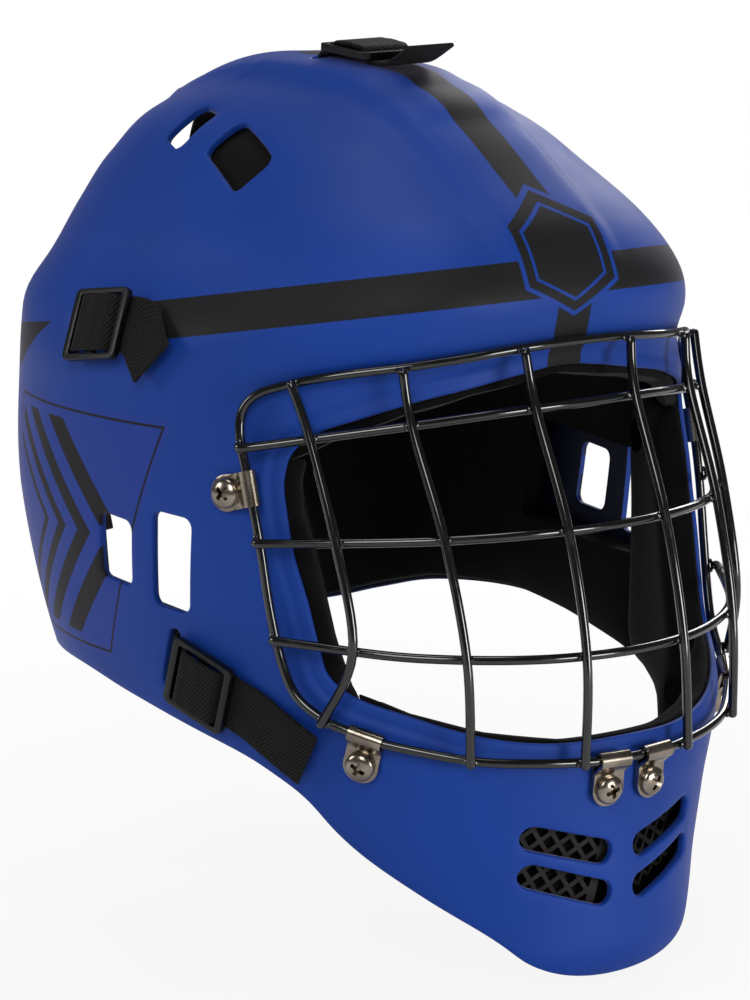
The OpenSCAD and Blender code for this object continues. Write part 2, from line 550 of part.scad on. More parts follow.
// height of the middle of the webbing on the shell, and over the middle bar of a buckle
web_low = webbing_thickness / 2 + webbing_gap;
buckle_base = webbing_thickness + 2 * webbing_gap;
web_high = buckle_base + buckle_thickness + webbing_gap + webbing_thickness / 2;
inner_depth = wall + webbing_gap + 0.3 + webbing_thickness / 2;
function strap_path(i) =
    let(g = strap_frame(i, 0), f = strap_frame(i, buckle_at), b = buckle_length / 2, extra = i == 0 ? crown_ridge_rise : 0,
        thread = [[-b + 0.8, web_low], [-b + buckle_bar + 0.2, web_low], [-b * 0.5, (web_low + web_high) / 2],
            [-b * 0.24, web_high - 0.2], [0, web_high], [b * 0.24, web_high - 0.2], [b * 0.5, (web_low + web_high) / 2],
            [b - buckle_bar - 0.2, web_low], [b - 0.8, web_low], [b + 1.5, web_low + 0.1]],
        sunk = i < 3 ? 1 : 0.2,
        enter = [[-3, -inner_depth - extra - sunk], [-1.6, -inner_depth - extra - sunk + 0.4], [-0.5, -wall - extra + 0.3],
            [0.4, -1.2], [1.5, 0.35], [3, web_low - 0.05]],
        tail = [for (k = [1:4]) let(s = tail_from + (strap_ends[i] - tail_from) * k / 4, t = k / 4)
            strap_point(i, s) + (web_low + (i == 0 ? 2 * t + 8 * t^3 : i < 3 ? 4.5 * t^1.5 : 3.5 * t^1.5)) * strap_normal(i, s)])
    concat([for (e = enter) [strap_local(g, e[0], e[1]), g[3]]], [for (e = thread) [strap_local(f, e[0], e[1]), f[3]]],
        [for (k = [1:4]) [tail[k - 1], strap_normal(i, tail_from + (strap_ends[i] - tail_from) * k / 4)]]);
module strap(i) {
    p = strap_path(i);
    color(web_black) webbing_along([for (e = p) e[0]], [for (e = p) e[1]]);
}
module strap_top() { strap(0); }
module strap_upper_right() { strap(1); }
module strap_upper_left() { strap(2); }
module strap_lower_right() { strap(3); }
module strap_lower_left() { strap(4); }

// inner runs of the webbing, from the slots to the back plate
function angle_of(y, h) =
    let(s = section(h), l = y < s[3] ? s[3] - s[0] : s[1] - s[3]) sign(y - s[3]) * asin(min(abs(y - s[3]) / l, 1)^(s[4] / 2));
run_stop = 90 - plate_half_angle + 9;
run_lead = 3.4;
function run_point(i, t) =
    let(c = strap_sites[i], lead = i < 3 ? run_lead : run_lead + 1.8, h = c[3] + (i < 3 ? -8 : 22) * (1 - (1 - t)^3), a0 = angle_of(c[2] + lead, c[3]),
        a = a0 + t * (run_stop - a0), n = ring_normal(a, h))
    [mirrored(ring_point(a, h) - (inner_depth + (i < 3 ? 1.4 : 0.2)) * n, c[1]), mirrored(n, c[1])];
function top_run() =
    let(y0 = strap_sites[0][2] + run_lead, low = plate_top - 13, high = shell_height - 16.5, deeper = inner_depth + 0.9)
    concat([for (k = [0:5]) let(y = y0 + k * 9, n = crown_normal(0, y)) [crown_point(0, y) - (deeper + 0.12 * k) * n, n]],
        [for (k = [0:7]) let(h = high + k * (low - high) / 7, n = ring_normal(90, h))
            [ring_point(90, h) - (deeper + 0.6 * (1 - k / 7)) * n, n]]);
module run(i) {
    p = i == 0 ? top_run() : [for (k = [0:1:12]) run_point(i, k / 12)];
    color(web_black) webbing_along([for (e = p) e[0]], [for (e = p) e[1]]);
}
module run_channel(i) {
    p = [for (k = [-0.6, 0, 1, 2, 3, 4, 5, 6, 7, 8, 9, 10, 11, 12, 12.6]) run_point(i, k / 12)];
    webbing_along([for (e = p) e[0]], [for (e = p) e[1]], i < 3 ? 0.7 : 1.2);
}
module run_top() { run(0); }
module run_upper_right() { run(1); }
module run_upper_left() { run(2); }
module run_lower_right() { run(3); }
module run_lower_left() { run(4); }

// buckles
buckle_width = webbing + 2 * webbing_room + 4;
module buckle_plan(length, width, r) {
    square([length - 2 * r, width], center = true);
    square([length, width - 2 * r], center = true);
    for (a = [-1, 1], b = [-1, 1]) translate([a * (length / 2 - r), b * (width / 2 - r)]) circle(r, $fn = 24);
}
module buckle(i) {
    window = (buckle_length - 3 * buckle_bar) / 2;
    color(plastic_black) place_at(strap_frame(i, buckle_at)) translate([0, 0, buckle_base])
        linear_extrude(buckle_thickness) difference() {
            buckle_plan(buckle_length, buckle_width, 2.2);
            for (k = [-1, 1]) translate([k * (window + buckle_bar) / 2, 0])
                buckle_plan(window, webbing + 2 * webbing_room, 1);
        }
}
module buckle_top() { buckle(0); }
module buckle_upper_right() { buckle(1); }
module buckle_upper_left() { buckle(2); }
module buckle_lower_right() { buckle(3); }
module buckle_lower_left() { buckle(4); }

// foam lining: patches of the shell's inside, crowned and thinner to their edges
foam_depth = wall + foam_gap;
function crowned(u, v) = (1 - 0.55 * abs(2 * u - 1)^8) * (1 - 0.55 * abs(2 * v - 1)^8);
module pad(points, thickness, depth, side = 1) {
    n = len(points) - 1;
    m = len(points[0]) - 1;
    outer = [for (r = points) [for (p = r) mirrored(deep(p[0], p[1], depth), side)]];
    inner = [for (i = [0:n]) [for (j = [0:m]) let(p = points[i][j])
        mirrored(deep(p[0], p[1], depth + thickness * crowned(i / n, j / m)), side)]];
    if (side > 0) slab(outer, inner);
    else slab(inner, outer);
}
function angle_at(x, h) = let(s = section(h)) -acos(min(x / s[2], 1)^(s[4] / 2));
foam_over = 2;
function face_edge(x) =
    lookup(x, [[0, face_top], [35, face_top - 4], [57, face_top - 9], [76, face_top - 17], [90, face_top - 27]]);
function face_floor(x) = lookup(x, [[0, face_bottom], [24, face_bottom], [50, face_bottom + 4], [68, face_bottom + 10], [84, face_bottom + 20]]);

module forehead_pad() {
    color(foam_black) pad([for (i = [0:8]) [for (j = [0:16])
        let(a = -90 + 58 * (j / 8 - 1), x = abs(ring_point(a, 200)[0]), low = face_edge(x) - foam_over)
        [a, low + (brow_height + 12 - low) * i / 8]]], foam, foam_depth + 0.25);
}
crown_pad_low = brow_height + 15;
crown_pad_rise = shell_height - 2.5 - crown_pad_low;
module crown_pad() {
    color(foam_black) pad([for (i = [0:6]) [for (j = [0:14])
        [-168 + 156 * j / 14, crown_pad_low + crown_pad_rise * (1 - (1 - i / 6)^1.3)]]], foam, foam_depth + 0.3);
}
module nut_pockets() {
    for (c = clip_sites) place_at(clip_frame(c)) cylinder(d = nut + 6, h = 40, center = true, $fn = 16);
}
module cheek_pad(side) {
    color(foam_black) difference() {
        pad([for (i = [0:8]) let(h = 104 + 66 * i / 8, x = face_half_width - lookup(h, [[104, 6.5], [120, 4], [162, 0], [172, 2]]))
            [for (j = [0:5]) let(a = angle_at(x - foam_over, h), b = angle_of(-63, h)) [a + (b - a) * j / 5, h]]],
            foam + 2, foam_depth, side);
        nut_pockets();
    }
}
module cheek_pad_right() { cheek_pad(-1); }
module cheek_pad_left() { cheek_pad(1); }
side_pad_low = 6;
module side_pad(side) {
    color(foam_black) difference() {
        pad([for (i = [0:7]) [for (j = [0:14]) let(y = -60 + 134 * j / 14, low = lookup(y, [for (e = jaw_edge) e]) + side_pad_low,
            h = low + (brow_height - 30 - low) * i / 7) [angle_of(y, h), h]]], foam, foam_depth, side);
        side_window(-22, 140.5, ear_vent_width + 2, ear_vent_rear_half + 1, 5);
        side_window(-50, 140, ear_vent_width + 2, ear_vent_front_half + 1, 4);
        run_channel(side < 0 ? 1 : 2);
        run_channel(side < 0 ? 3 : 4);
    }
}
module side_pad_right() { side_pad(-1); }
module side_pad_left() { side_pad(1); }
module chin_pad() {
    color(foam_black) difference() {
        pad([for (i = [0:3]) [for (j = [0:16])
            let(a = -90 + 42 * (j / 8 - 1), x = abs(ring_point(a, 88)[0]), high = face_floor(x) + 0.4)
            [a, 67 + (high - 67) * i / 3]]], foam - 2, foam_depth + 0.35);
        nut_pockets();
    }
}

// back plate, behind the head between the wings of the shell
plate_room = 2.2;
plate_depth = inner_depth + webbing_thickness / 2 + plate_room;
function plate_grid(n, m, shrink) = [for (i = [0:n]) let(v = (2 * i / n - 1) * 0.985, f = (1 - abs(v)^4)^0.25)
    [for (j = [0:m]) [90 + (plate_half_angle - shrink) * (2 * j / m - 1) * (0.25 + 0.75 * f),
        (plate_top + plate_bottom) / 2 + v * ((plate_top - plate_bottom) / 2 - shrink * 1.6)]]];
module back_plate() {
    g = plate_grid(12, 8, 0);
    color(plastic_black) slab([for (r = g) [for (p = r) deep(p[0], p[1], plate_depth)]],
        [for (r = g) [for (p = r) deep(p[0], p[1], plate_depth + plate)]]);
}
module back_pad() {
    g = plate_grid(12, 8, 2);
    color(foam_black) pad(g, plate_foam, plate_depth + plate + foam_gap);
}

shell();
chin_mesh_right();
chin_mesh_left();
cage_rim();
cage_crossbars();
cage_uprights();
clip_temple_right();
clip_temple_left();
clip_jaw_right();
clip_jaw_left();
clip_chin_right();
clip_chin_left();
clip_screws();
clip_nuts();
forehead_pad();
crown_pad();
cheek_pad_right();
cheek_pad_left();
side_pad_right();
side_pad_left();
chin_pad();
strap_top();
strap_upper_right();
strap_upper_left();
strap_lower_right();
strap_lower_left();
run_top();
run_upper_right();
run_upper_left();
run_lower_right();
run_lower_left();
buckle_top();
buckle_upper_right();
buckle_upper_left();
buckle_lower_right();
buckle_lower_left();
back_plate();
back_pad();
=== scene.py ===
"""Floorball goalie helmet: the looks of its shell, cage, clips, webbing, buckles and lining.

Lengths are millimetres in the helmet's own frame until a mesh is made, and metres after that.
+Z is up as worn, the face looks along -Y, and heights called h count from the chin.
"""
import logging
import math
from dataclasses import dataclass, field, replace
from enum import Enum
from functools import partial
from typing import Callable, Sequence

import bmesh
import bpy
import numpy as np
from mathutils import Matrix, Vector
from mathutils.geometry import delaunay_2d_cdt
from mathutils.kdtree import KDTree


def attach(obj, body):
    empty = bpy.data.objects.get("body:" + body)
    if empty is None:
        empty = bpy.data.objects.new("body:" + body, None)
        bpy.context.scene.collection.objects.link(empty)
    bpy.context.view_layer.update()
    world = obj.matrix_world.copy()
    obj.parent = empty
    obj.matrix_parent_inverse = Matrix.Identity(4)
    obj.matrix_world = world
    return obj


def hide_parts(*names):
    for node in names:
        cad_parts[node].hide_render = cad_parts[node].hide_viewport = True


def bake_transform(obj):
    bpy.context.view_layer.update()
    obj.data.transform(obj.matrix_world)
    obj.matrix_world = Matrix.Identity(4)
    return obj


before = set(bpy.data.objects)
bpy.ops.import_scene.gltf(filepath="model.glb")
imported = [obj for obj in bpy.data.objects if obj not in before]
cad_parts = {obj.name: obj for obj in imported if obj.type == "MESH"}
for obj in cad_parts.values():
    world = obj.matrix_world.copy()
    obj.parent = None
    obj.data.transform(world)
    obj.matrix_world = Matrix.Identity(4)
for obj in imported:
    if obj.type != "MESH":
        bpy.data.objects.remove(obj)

LOG = logging.getLogger("helmet")
MM = 0.001
Points = np.ndarray


def unit(v: Points) -> Points:
    """Vectors of length one."""
    return v / np.maximum(np.linalg.norm(v, axis=-1, keepdims=True), 1e-12)


def soft(t: Points) -> Points:
    """Smooth step from 0 to 1."""
    u = np.clip(t, 0.0, 1.0)
    return u * u * (3 - 2 * u)


def arch(t: Points, n: Points) -> Points:
    """Height of a rounded oblong of fullness n at a share of its half width."""
    return np.maximum(1 - np.abs(t) ** n, 0) ** (1 / n)


def spline(points: Sequence, steps: int, closed: bool = False) -> Points:
    """Smooth curve through points.

    Args:
        points: The points that it passes through.
        steps: How many parts each stretch is cut into.
        closed: Whether the end joins the start.

    Returns:
        The points of the curve.
    """
    p = np.asarray(points, float)
    n = len(p)
    out = []
    for i in range(n if closed else n - 1):
        if closed:
            a, b, c, d = (p[(i + k - 1) % n] for k in range(4))
        else:
            a, b, c, d = p[max(i - 1, 0)], p[i], p[i + 1], p[min(i + 2, n - 1)]
        for k in range(steps):
            t = k / steps
            out.append(0.5 * (2 * b + (c - a) * t + (2 * a - 5 * b + 4 * c - d) * t ** 2
                              + (3 * b - 3 * c + d - a) * t ** 3))
    if not closed:
        out.append(p[-1])
    return np.array(out)


def lengths(line: Points) -> Points:
    """Length along a line up to each of its points."""
    return np.concatenate([[0], np.cumsum(np.linalg.norm(np.diff(line, axis=0), axis=1))])


def respace(points: Points, gap: float, closed: bool = True) -> Points:
    """The same polyline with its points an even distance apart, about gap."""
    p = np.vstack([points, points[:1]]) if closed else np.asarray(points)
    s = lengths(p)
    n = max(int(round(s[-1] / gap)), 8)
    t = np.linspace(0, s[-1], n + 1)
    q = np.stack([np.interp(t, s, p[:, k]) for k in range(p.shape[1])], axis=1)
    return q[:-1] if closed else q


def hull_of(circles: Sequence[tuple[float, float, float]]) -> Points:
    """Convex outline round circles, each given as middle and radius, running anticlockwise."""
    turn = np.radians(np.arange(0, 360, 6))
    cloud = np.vstack([np.stack([x + r * np.cos(turn), y + r * np.sin(turn)], axis=1) for x, y, r in circles])
    cloud = cloud[np.lexsort((cloud[:, 1], cloud[:, 0]))]
    chains = []
    for order in (cloud, cloud[::-1]):
        chain: list[Points] = []
        for p in order:
            while len(chain) > 1 and np.linalg.det([chain[-1] - chain[-2], p - chain[-1]]) <= 1e-9:
                chain.pop()
            chain.append(p)
        chains += chain[:-1]
    return np.array(chains)


def clear_of(points: Points, others: Points, gap: float) -> Points:
    """The points that lie further than a gap from every one of the others."""
    tree = KDTree(len(others))
    for i, p in enumerate(others):
        tree.insert(p, i)
    tree.balance()
    return points[[tree.find(p)[2] > gap for p in points]]


def closest(points: Points, spot: Points) -> int:
    """Number of the point nearest to a spot."""
    return int(np.argmin(np.linalg.norm(points - spot, axis=1)))


def inside(points: Points, polygon: Points) -> Points:
    """Which points lie inside a polygon."""
    x, y = points[:, 0], points[:, 1]
    hit = np.zeros(len(points), bool)
    for (x0, y0), (x1, y1) in zip(polygon, np.roll(polygon, -1, axis=0)):
        if y0 == y1:
            continue
        cross = (y0 > y) != (y1 > y)
        hit ^= cross & (x < (x1 - x0) * (y - y0) / (y1 - y0) + x0)
    return hit


@dataclass(frozen=True)
class HelmetForm:
    """The outer surface of the shell as a stack of sections, each a rounded oblong."""

    shell_height: float = 298.5
    opening_height: float = 90.0
    ear_half: float = 110.0
    ridge_half: float = 106.0
    chin_reach: float = 163.0
    brow_height: float = 232.0
    brow_reach: float = 132.0
    back_reach: float = 109.0
    wall: float = 3.0
    seam: float = 288.0
    crown_rise: float = 3.0
    crown_half: float = 23.0
    table: Points = field(init=False, repr=False, default=None)
    slopes: Points = field(init=False, repr=False, default=None)

    def __post_init__(self) -> None:
        """Works out the sections and their slopes."""
        e, g, c, b, r = self.ear_half, self.ridge_half, self.chin_reach, self.brow_reach, self.back_reach
        brow, top = self.brow_height, self.shell_height
        k = top - brow
        t = np.array([
            [0, c - 7.5, r - 70, e - 37, 2.4],
            [10, c - 2, r - 63, e - 32, 2.25],
            [25, c - 1.5, r - 53, e - 26, 2.1],
            [55, c - 1.5, r - 35, e - 16, 2.1],
            [90, c, r - 18, e - 8, 2.2],
            [125, c - 8, r - 6, e - 3, 2.2],
            [160, c - 15, r, e, 2.15],
            [190, b + 5, r - 2, e + 0.5, 2.1],
            [207, b - 2, r - 8, g + 4.5, 2.15],
            [219, b + 0.5, r - 15, g, 2.4],
            [brow, b + 2.5, r - 24, g - 11.5, 2.64],
            [brow + 0.26 * k, 0.93 * b, 0.72 * r, 0.79 * g, 2.6],
            [brow + 0.51 * k, 0.765 * b, 0.69 * r, 0.67 * g, 2.4],
            [brow + 0.73 * k, 0.605 * b, 0.61 * r, 0.52 * g, 2.25],
            [brow + 0.89 * k, 0.46 * b, 0.43 * r, 0.31 * g, 2.1],
            [brow + 0.98 * k, 0.24 * b, 0.2 * r, 0.12 * g, 2],
            [top, 10, -5, 1, 2]])
        d = np.diff(t[:, 0])[:, None]
        rise = np.diff(t, axis=0) / d
        s = np.vstack([rise[:1], (d[1:] * rise[:-1] + d[:-1] * rise[1:]) / (d[1:] + d[:-1]), rise[-1:]])
        object.__setattr__(self, "table", t)
        object.__setattr__(self, "slopes", s)

    def section(self, h: Points) -> tuple[Points, ...]:
        """Front, rear, half width, middle and fullness of the section at a height."""
        h = np.asarray(h, float)
        t, s = self.table, self.slopes
        i = np.clip(np.searchsorted(t[:, 0], h, side="right") - 1, 0, len(t) - 2)
        d = t[i + 1, 0] - t[i, 0]
        u = (h - t[i, 0]) / d
        a0, b0 = 2 * u ** 3 - 3 * u ** 2 + 1, (u ** 3 - 2 * u ** 2 + u) * d
        a1, b1 = 3 * u ** 2 - 2 * u ** 3, (u ** 3 - u ** 2) * d
        col = [a0 * t[i, k] + b0 * s[i, k] + a1 * t[i + 1, k] + b1 * s[i + 1, k] for k in range(1, 5)]
        front, rear = -col[0], col[1]
        middle = np.interp(h, [0, 60, 150, 220, 262, self.shell_height], [-44, -27, -8, -4, 0, -7.5])
        middle = np.minimum(np.maximum(middle, front + 1), rear - 1)
        return front, rear, np.maximum(col[2], 0.6), middle, np.maximum(col[3], 1.8)

    def spot(self, x: Points, y: Points, h: Points) -> Points:
        """Points of the frame from their place across, front to back and height over the chin."""
        return np.stack(np.broadcast_arrays(x, y, h - self.opening_height), axis=-1)

    def ring(self, a: Points, h: Points) -> Points:
        """Points of the outer surface by angle in degrees and height."""
        f, r, w, m, n = self.section(h)
        c, s = np.cos(np.radians(a)), np.sin(np.radians(a))
        e = 2 / n
        reach = np.where(s < 0, m - f, r - m)
        return self.spot(w * np.sign(c) * np.abs(c) ** e, m + reach * np.sign(s) * np.abs(s) ** e, h)

    def angle(self, p: Points) -> Points:
        """Angle of places of the surface, from -270 at the rear round to 90."""
        x, y = p[..., 0], p[..., 1]
        f, r, w, m, n = self.section(self.height(p))
        reach = np.where(y < m, m - f, r - m)
        c = np.sign(x) * np.abs(x / w) ** (n / 2)
        s = np.sign(y - m) * np.abs((y - m) / reach) ** (n / 2)
        a = np.degrees(np.arctan2(s, c))
        return np.where(a > 90, a - 360, a)

    def front(self, x: Points, h: Points) -> Points:
        """Points of the front half by their place across and height."""
        f, _, w, m, n = self.section(h)
        return self.spot(x, m - (m - f) * arch(x / w, n), h)

    def rear(self, x: Points, h: Points) -> Points:
        """Points of the rear half by their place across and height."""
        _, r, w, m, n = self.section(h)
        return self.spot(x, m + (r - m) * arch(x / w, n), h)

    def side(self, y: Points, h: Points, hand: int = 1) -> Points:
        """Points of one side by their place front to back and height."""
        f, r, w, m, n = self.section(h)
        reach = np.where(y < m, m - f, r - m)
        return self.spot(hand * w * arch((y - m) / reach, n), y, h)

    def crown(self, x: Points, y: Points) -> Points:
        """Points of the crown seen from above."""
        x, y = np.broadcast_arrays(np.asarray(x, float), np.asarray(y, float))
        lo, hi = np.full(x.shape, 236.0), np.full(x.shape, self.shell_height)
        for _ in range(26):
            mid = (lo + hi) / 2
            f, r, w, m, n = self.section(mid)
            reach = np.where(y < m, m - f, r - m)
            out = (np.abs(x) / w) ** n + (np.abs(y - m) / reach) ** n > 1
            hi, lo = np.where(out, mid, hi), np.where(out, lo, mid)
        return self.spot(x, y, (lo + hi) / 2)

    def normal(self, p: Points) -> Points:
        """Outward normals at points of the surface."""
        p = np.asarray(p, float)
        h = self.height(p)
        g = np.clip(h, 0.6, self.shell_height - 0.3)
        a = self.angle(p)
        round_it = self.ring(a + 1, g) - self.ring(a - 1, g)
        up = self.ring(a, g + 0.3) - self.ring(a, g - 0.3)
        return unit(np.where((h > 280)[..., None], self.crown_normal(p[..., 0], p[..., 1]),
                             unit(np.cross(round_it, up))))

    def crown_normal(self, x: Points, y: Points) -> Points:
        """Upward normals of the crown seen from above."""
        across = self.crown(x + 1, y) - self.crown(x - 1, y)
        back = self.crown(x, y + 1) - self.crown(x, y - 1)
        return unit(np.cross(across, back))

    def ridge(self, p: Points) -> Points:
        """Rise of the flat ridge over the crown."""
        return (self.crown_rise * soft((self.crown_half + 5 - np.abs(p[..., 0])) / 10)
                * soft((self.height(p) - 234) / 18))

    def height(self, p: Points) -> Points:
        """Height over the chin of points of the frame."""
        return p[..., 2] + self.opening_height

    def bottom(self, p: Points) -> float:
        """Height over the chin of the lowest of some points."""
        return float(self.height(p).min())


FORM = HelmetForm()


class Hand(Enum):
    """Which side of the wearer a piece is on."""

    RIGHT = -1
    LEFT = 1

    @property
    def word(self) -> str:
        """The side as it stands in the names of pieces."""
        return self.name.lower()


def linear(code: str) -> tuple[float, float, float, float]:
    """Linear colour of an sRGB hex code."""
    parts = [int(code.lstrip("#")[i:i + 2], 16) / 255 for i in (0, 2, 4)]
    return (*[c / 12.92 if c <= 0.04045 else ((c + 0.055) / 1.055) ** 2.4 for c in parts], 1.0)


@dataclass(frozen=True)
class Signal:
    """A value in a material that is worked with like a number: each sum leaves a node behind."""

    recipe: "Recipe"
    socket: bpy.types.NodeSocket

    def math(self, operation: str, *values: object) -> "Signal":
        """Result of a sum on signals and numbers."""
        return self.recipe.take("ShaderNodeMath", 0, dict(enumerate(values)), operation=operation)

    def __add__(self, other: object) -> "Signal":
        """Sum."""
        return self.math("ADD", self, other)

    def __sub__(self, other: object) -> "Signal":
        """Difference."""
        return self.math("SUBTRACT", self, other)

    def __rsub__(self, other: object) -> "Signal":
        """Difference from a number."""
        return self.math("SUBTRACT", other, self)

    def __mul__(self, other: object) -> "Signal":
        """Product, which also says where both of two masks hold."""
        return self.math("MULTIPLY", self, other)

    def __or__(self, other: object) -> "Signal":
        """The greater of two, which also says where either of two masks holds."""
        return self.math("MAXIMUM", self, other)

    def __abs__(self) -> "Signal":
        """Size without sign."""
        return self.math("ABSOLUTE", self)

    def sine(self) -> "Signal":
        """Sine."""
        return self.math("SINE", self)

    def ramp(self, lo: float, hi: float, a: float = 0.0, b: float = 1.0) -> "Signal":
        """The value from lo..hi on a smooth slope from a to b."""
        inputs = {"Value": self, "From Min": lo, "From Max": hi, "To Min": a, "To Max": b}
        return self.recipe.take("ShaderNodeMapRange", 0, inputs, interpolation_type="SMOOTHSTEP")

    def under(self, limit: float) -> "Signal":
        """1 where the value is under a limit, with a printed edge a quarter of a millimetre wide."""
        return self.ramp(limit - 0.12, limit + 0.12, 1.0, 0.0)

    def bump(self, depth: float, strength: float = 1.0, under: "Signal | None" = None) -> "Signal":
        """The value as a bump of a depth in millimetres, over another one."""
        inputs = {"Height": self, "Distance": depth * MM, "Strength": strength}
        if under:
            inputs["Normal"] = under
        return self.recipe.take("ShaderNodeBump", "Normal", inputs)


class Recipe:
    """A material or world under construction: its node tree and main shader."""

    def __init__(self, name: str, world: bool = False) -> None:
        """Starts a material or world of that name with nothing but its shader and output."""
        self.made = (bpy.data.worlds if world else bpy.data.materials).new(name)
        self.made.use_nodes = True
        self.nodes = self.made.node_tree.nodes
        self.shader = self.nodes["Background" if world else "Principled BSDF"]

    def feed(self, socket: bpy.types.NodeSocket, value: object) -> None:
        """Links a signal to an input or gives it a value."""
        if isinstance(value, Signal):
            self.made.node_tree.links.new(value.socket, socket)
        else:
            socket.default_value = value

    def take(self, kind: str, output: str | int, inputs: dict | None = None, **settings: object) -> Signal:
        """Adds a node and takes one of its outputs.

        Args:
            kind: The node's type in Blender.
            output: Name or number of the output.
            inputs: Values or signals for its inputs, by name or number.
            **settings: Properties of the node itself.

        Returns:
            The signal at that output.
        """
        node = self.nodes.new(kind)
        for key, value in settings.items():
            setattr(node, key, value)
        for key, value in (inputs or {}).items():
            self.feed(node.inputs[key], value)
        return Signal(self, node.outputs[output])

    def axes(self, place: Signal) -> list[Signal]:
        """The three parts of a place."""
        first = self.take("ShaderNodeSeparateXYZ", 0, {0: place})
        return [Signal(self, output) for output in first.socket.node.outputs]

    def place(self) -> Signal:
        """Places in metres on the helmet."""
        return self.take("ShaderNodeTexCoord", "Object")

    def mix(self, amount: object, a: object, b: object) -> Signal:
        """Mix of two colours, each a signal or a hex code."""
        a, b = (linear(c) if isinstance(c, str) else c for c in (a, b))
        return self.take("ShaderNodeMix", 2, {0: amount, 6: a, 7: b}, data_type="RGBA")

    def noise(self, size: float, detail: float = 3.0, roughness: float = 0.5) -> Signal:
        """Noise whose lumps are about size millimetres across."""
        inputs = {"Vector": self.place(), "Scale": 1 / (size * MM), "Detail": detail, "Roughness": roughness}
        return self.take("ShaderNodeTexNoise", 0, inputs)

    def set(self, **values: object) -> bpy.types.Material:
        """Sets or links the shader's own sockets, and hands over what was made."""
        for key, value in values.items():
            self.feed(self.shader.inputs[key.replace("_", " ")], value)
        return self.made


@dataclass(frozen=True)
class ShellFinish:
    """Satin moulded ABS with printed matte bands: broad soft sheen and sharp edges of colour."""

    blue: str = "#0e3d98"
    deep: str = "#0d398f"
    band: str = "#151517"
    panel: str = "#1d3a93"
    # inside is a painted shade: the inner skin is coloured near black-blue for the shadow within the shell
    inside: str = "#07112e"
    speck: str = "#7f86a8"
    bloom: str = "#d9cfe6"
    roughness: float = 0.55

    @staticmethod
    def brow(x: Signal, y: Signal, z: Signal) -> Signal:
        """Mask of the print round the brow and over the crown, by place in millimetres."""
        wide, front = abs(x), y.under(-40.0)
        # band round the brow, falling to the front, and the wedge that ends it at the rear
        band = abs(z + y * 0.18 - 123.5).under(6.6) * y.under(-6.0)
        wedge = ((124.0 - z) * 1.6 - y + 16.0).under(0.0) * (z + y * 0.155).under(126.5)
        wedge *= (z * -1.0).under(-104.0)
        # stripe over the crown, from the strap to the face opening
        stripe = wide.under(7.2) * y.under(10.0) * (z * -1.0).under(-100.0)
        # plain six-sided panel where the two cross, in a gap of bare shell and with one thin line inside
        cell = wide | (wide * 0.5 + abs(z - 154.5) * 0.98)
        panel = cell.under(18.5) * front
        gap = cell.under(20.2) * front * (1.0 - panel)
        line = abs(cell - 14.6).under(0.6) * front
        return ((band | wedge | stripe) * (1.0 - gap) | panel) * (1.0 - line)

    @staticmethod
    def flank(x: Signal, y: Signal, z: Signal) -> tuple[Signal, Signal]:
        """Masks of the pale field on each side, and of its frame and leaning bars."""
        side = (abs(x) * -1.0).under(-60.0)
        field_edge = abs(y + z * 0.42 - 38.0) * 0.92 | abs(z - 54.0)
        frame_line = abs(field_edge - 41.6).under(0.45)
        chevron = y - abs(z - 54.0) * 0.9 + 38.0
        bars = None
        for start, width in ((10.0, 11.0), (30.0, 8.0), (46.0, 5.5), (59.0, 3.5)):
            bar = abs(chevron - (start + width / 2)).under(width / 2)
            bars = bars | bar if bars else bar
        return field_edge.under(44.0) * side, (frame_line | bars * field_edge.under(38.0)) * side

    def make(self) -> bpy.types.Material:
        """Builds the material.

        Returns:
            The shell's material, printed where the mesh says that it is the outer skin, and painted dark as
            shade on the inner skin.
        """
        r = Recipe("satin moulded ABS")
        x, y, z = (axis * (1 / MM) for axis in r.axes(r.place()))
        outside = r.take("ShaderNodeAttribute", "Fac", attribute_name="printed")
        pale, marks = self.flank(x, y, z)
        dark = (self.brow(x, y, z) | marks) * outside
        base = r.mix(r.noise(60.0, 2.0).ramp(0.3, 0.7), self.deep, self.blue)
        base = r.mix(pale * outside * 0.9, base, self.panel)
        base = r.mix(dark, base, self.band)
        # painted shade: the unprinted inner skin takes the dark inside colour for the shadow within the shell
        base = r.mix(outside.ramp(0.0, 0.06), self.inside, base)
        base = r.mix(r.noise(0.9, 1.0).ramp(0.77, 0.83) * 0.12, base, self.speck)
        rough = r.noise(28.0, 4.0).ramp(0.35, 0.75, -0.03, 0.05) + self.roughness + dark * 0.04
        grain = r.noise(0.35, roughness=0.65).bump(0.02, 0.5)
        return r.set(Base_Color=base, Roughness=rough, Normal=grain, IOR=1.5, Specular_IOR_Level=0.24,
                     Sheen_Weight=0.2, Sheen_Roughness=0.36, Sheen_Tint=linear(self.bloom))


@dataclass(frozen=True)
class WireFinish:
    """Black powder-coated steel wire: gloss with a slight orange peel that bends the highlights."""

    colour: str = "#050506"
    dusty: str = "#161514"

    def make(self) -> bpy.types.Material:
        """Builds the material."""
        r = Recipe("gloss powder coat on steel")
        dust = r.noise(5.0, 4.0).ramp(0.45, 0.8)
        peel = r.noise(1.6, 2.0).bump(0.03, 0.35)
        return r.set(Base_Color=r.mix(dust * 0.15, self.colour, self.dusty), Normal=peel, IOR=1.55,
                     Roughness=dust.ramp(0, 1, 0.14, 0.26), Coat_Weight=0.6, Coat_Roughness=0.08)


@dataclass(frozen=True)
class NickelFinish:
    """Nickel-plated steel with a smoky tone: bright, streaked by tumbling, browner in patches."""

    bright: str = "#a79d90"
    smoky: str = "#6f655a"

    def make(self) -> bpy.types.Material:
        """Builds the material."""
        r = Recipe("smoky nickel plate")
        patch = r.noise(7.0).ramp(0.38, 0.72, 0.0, 0.7)
        scratch = r.noise(0.4, roughness=0.6)
        return r.set(Base_Color=r.mix(patch, self.bright, self.smoky), Metallic=1.0,
                     Roughness=scratch.ramp(0.3, 0.7, 0.16, 0.27), Normal=scratch.bump(0.006, 0.3))


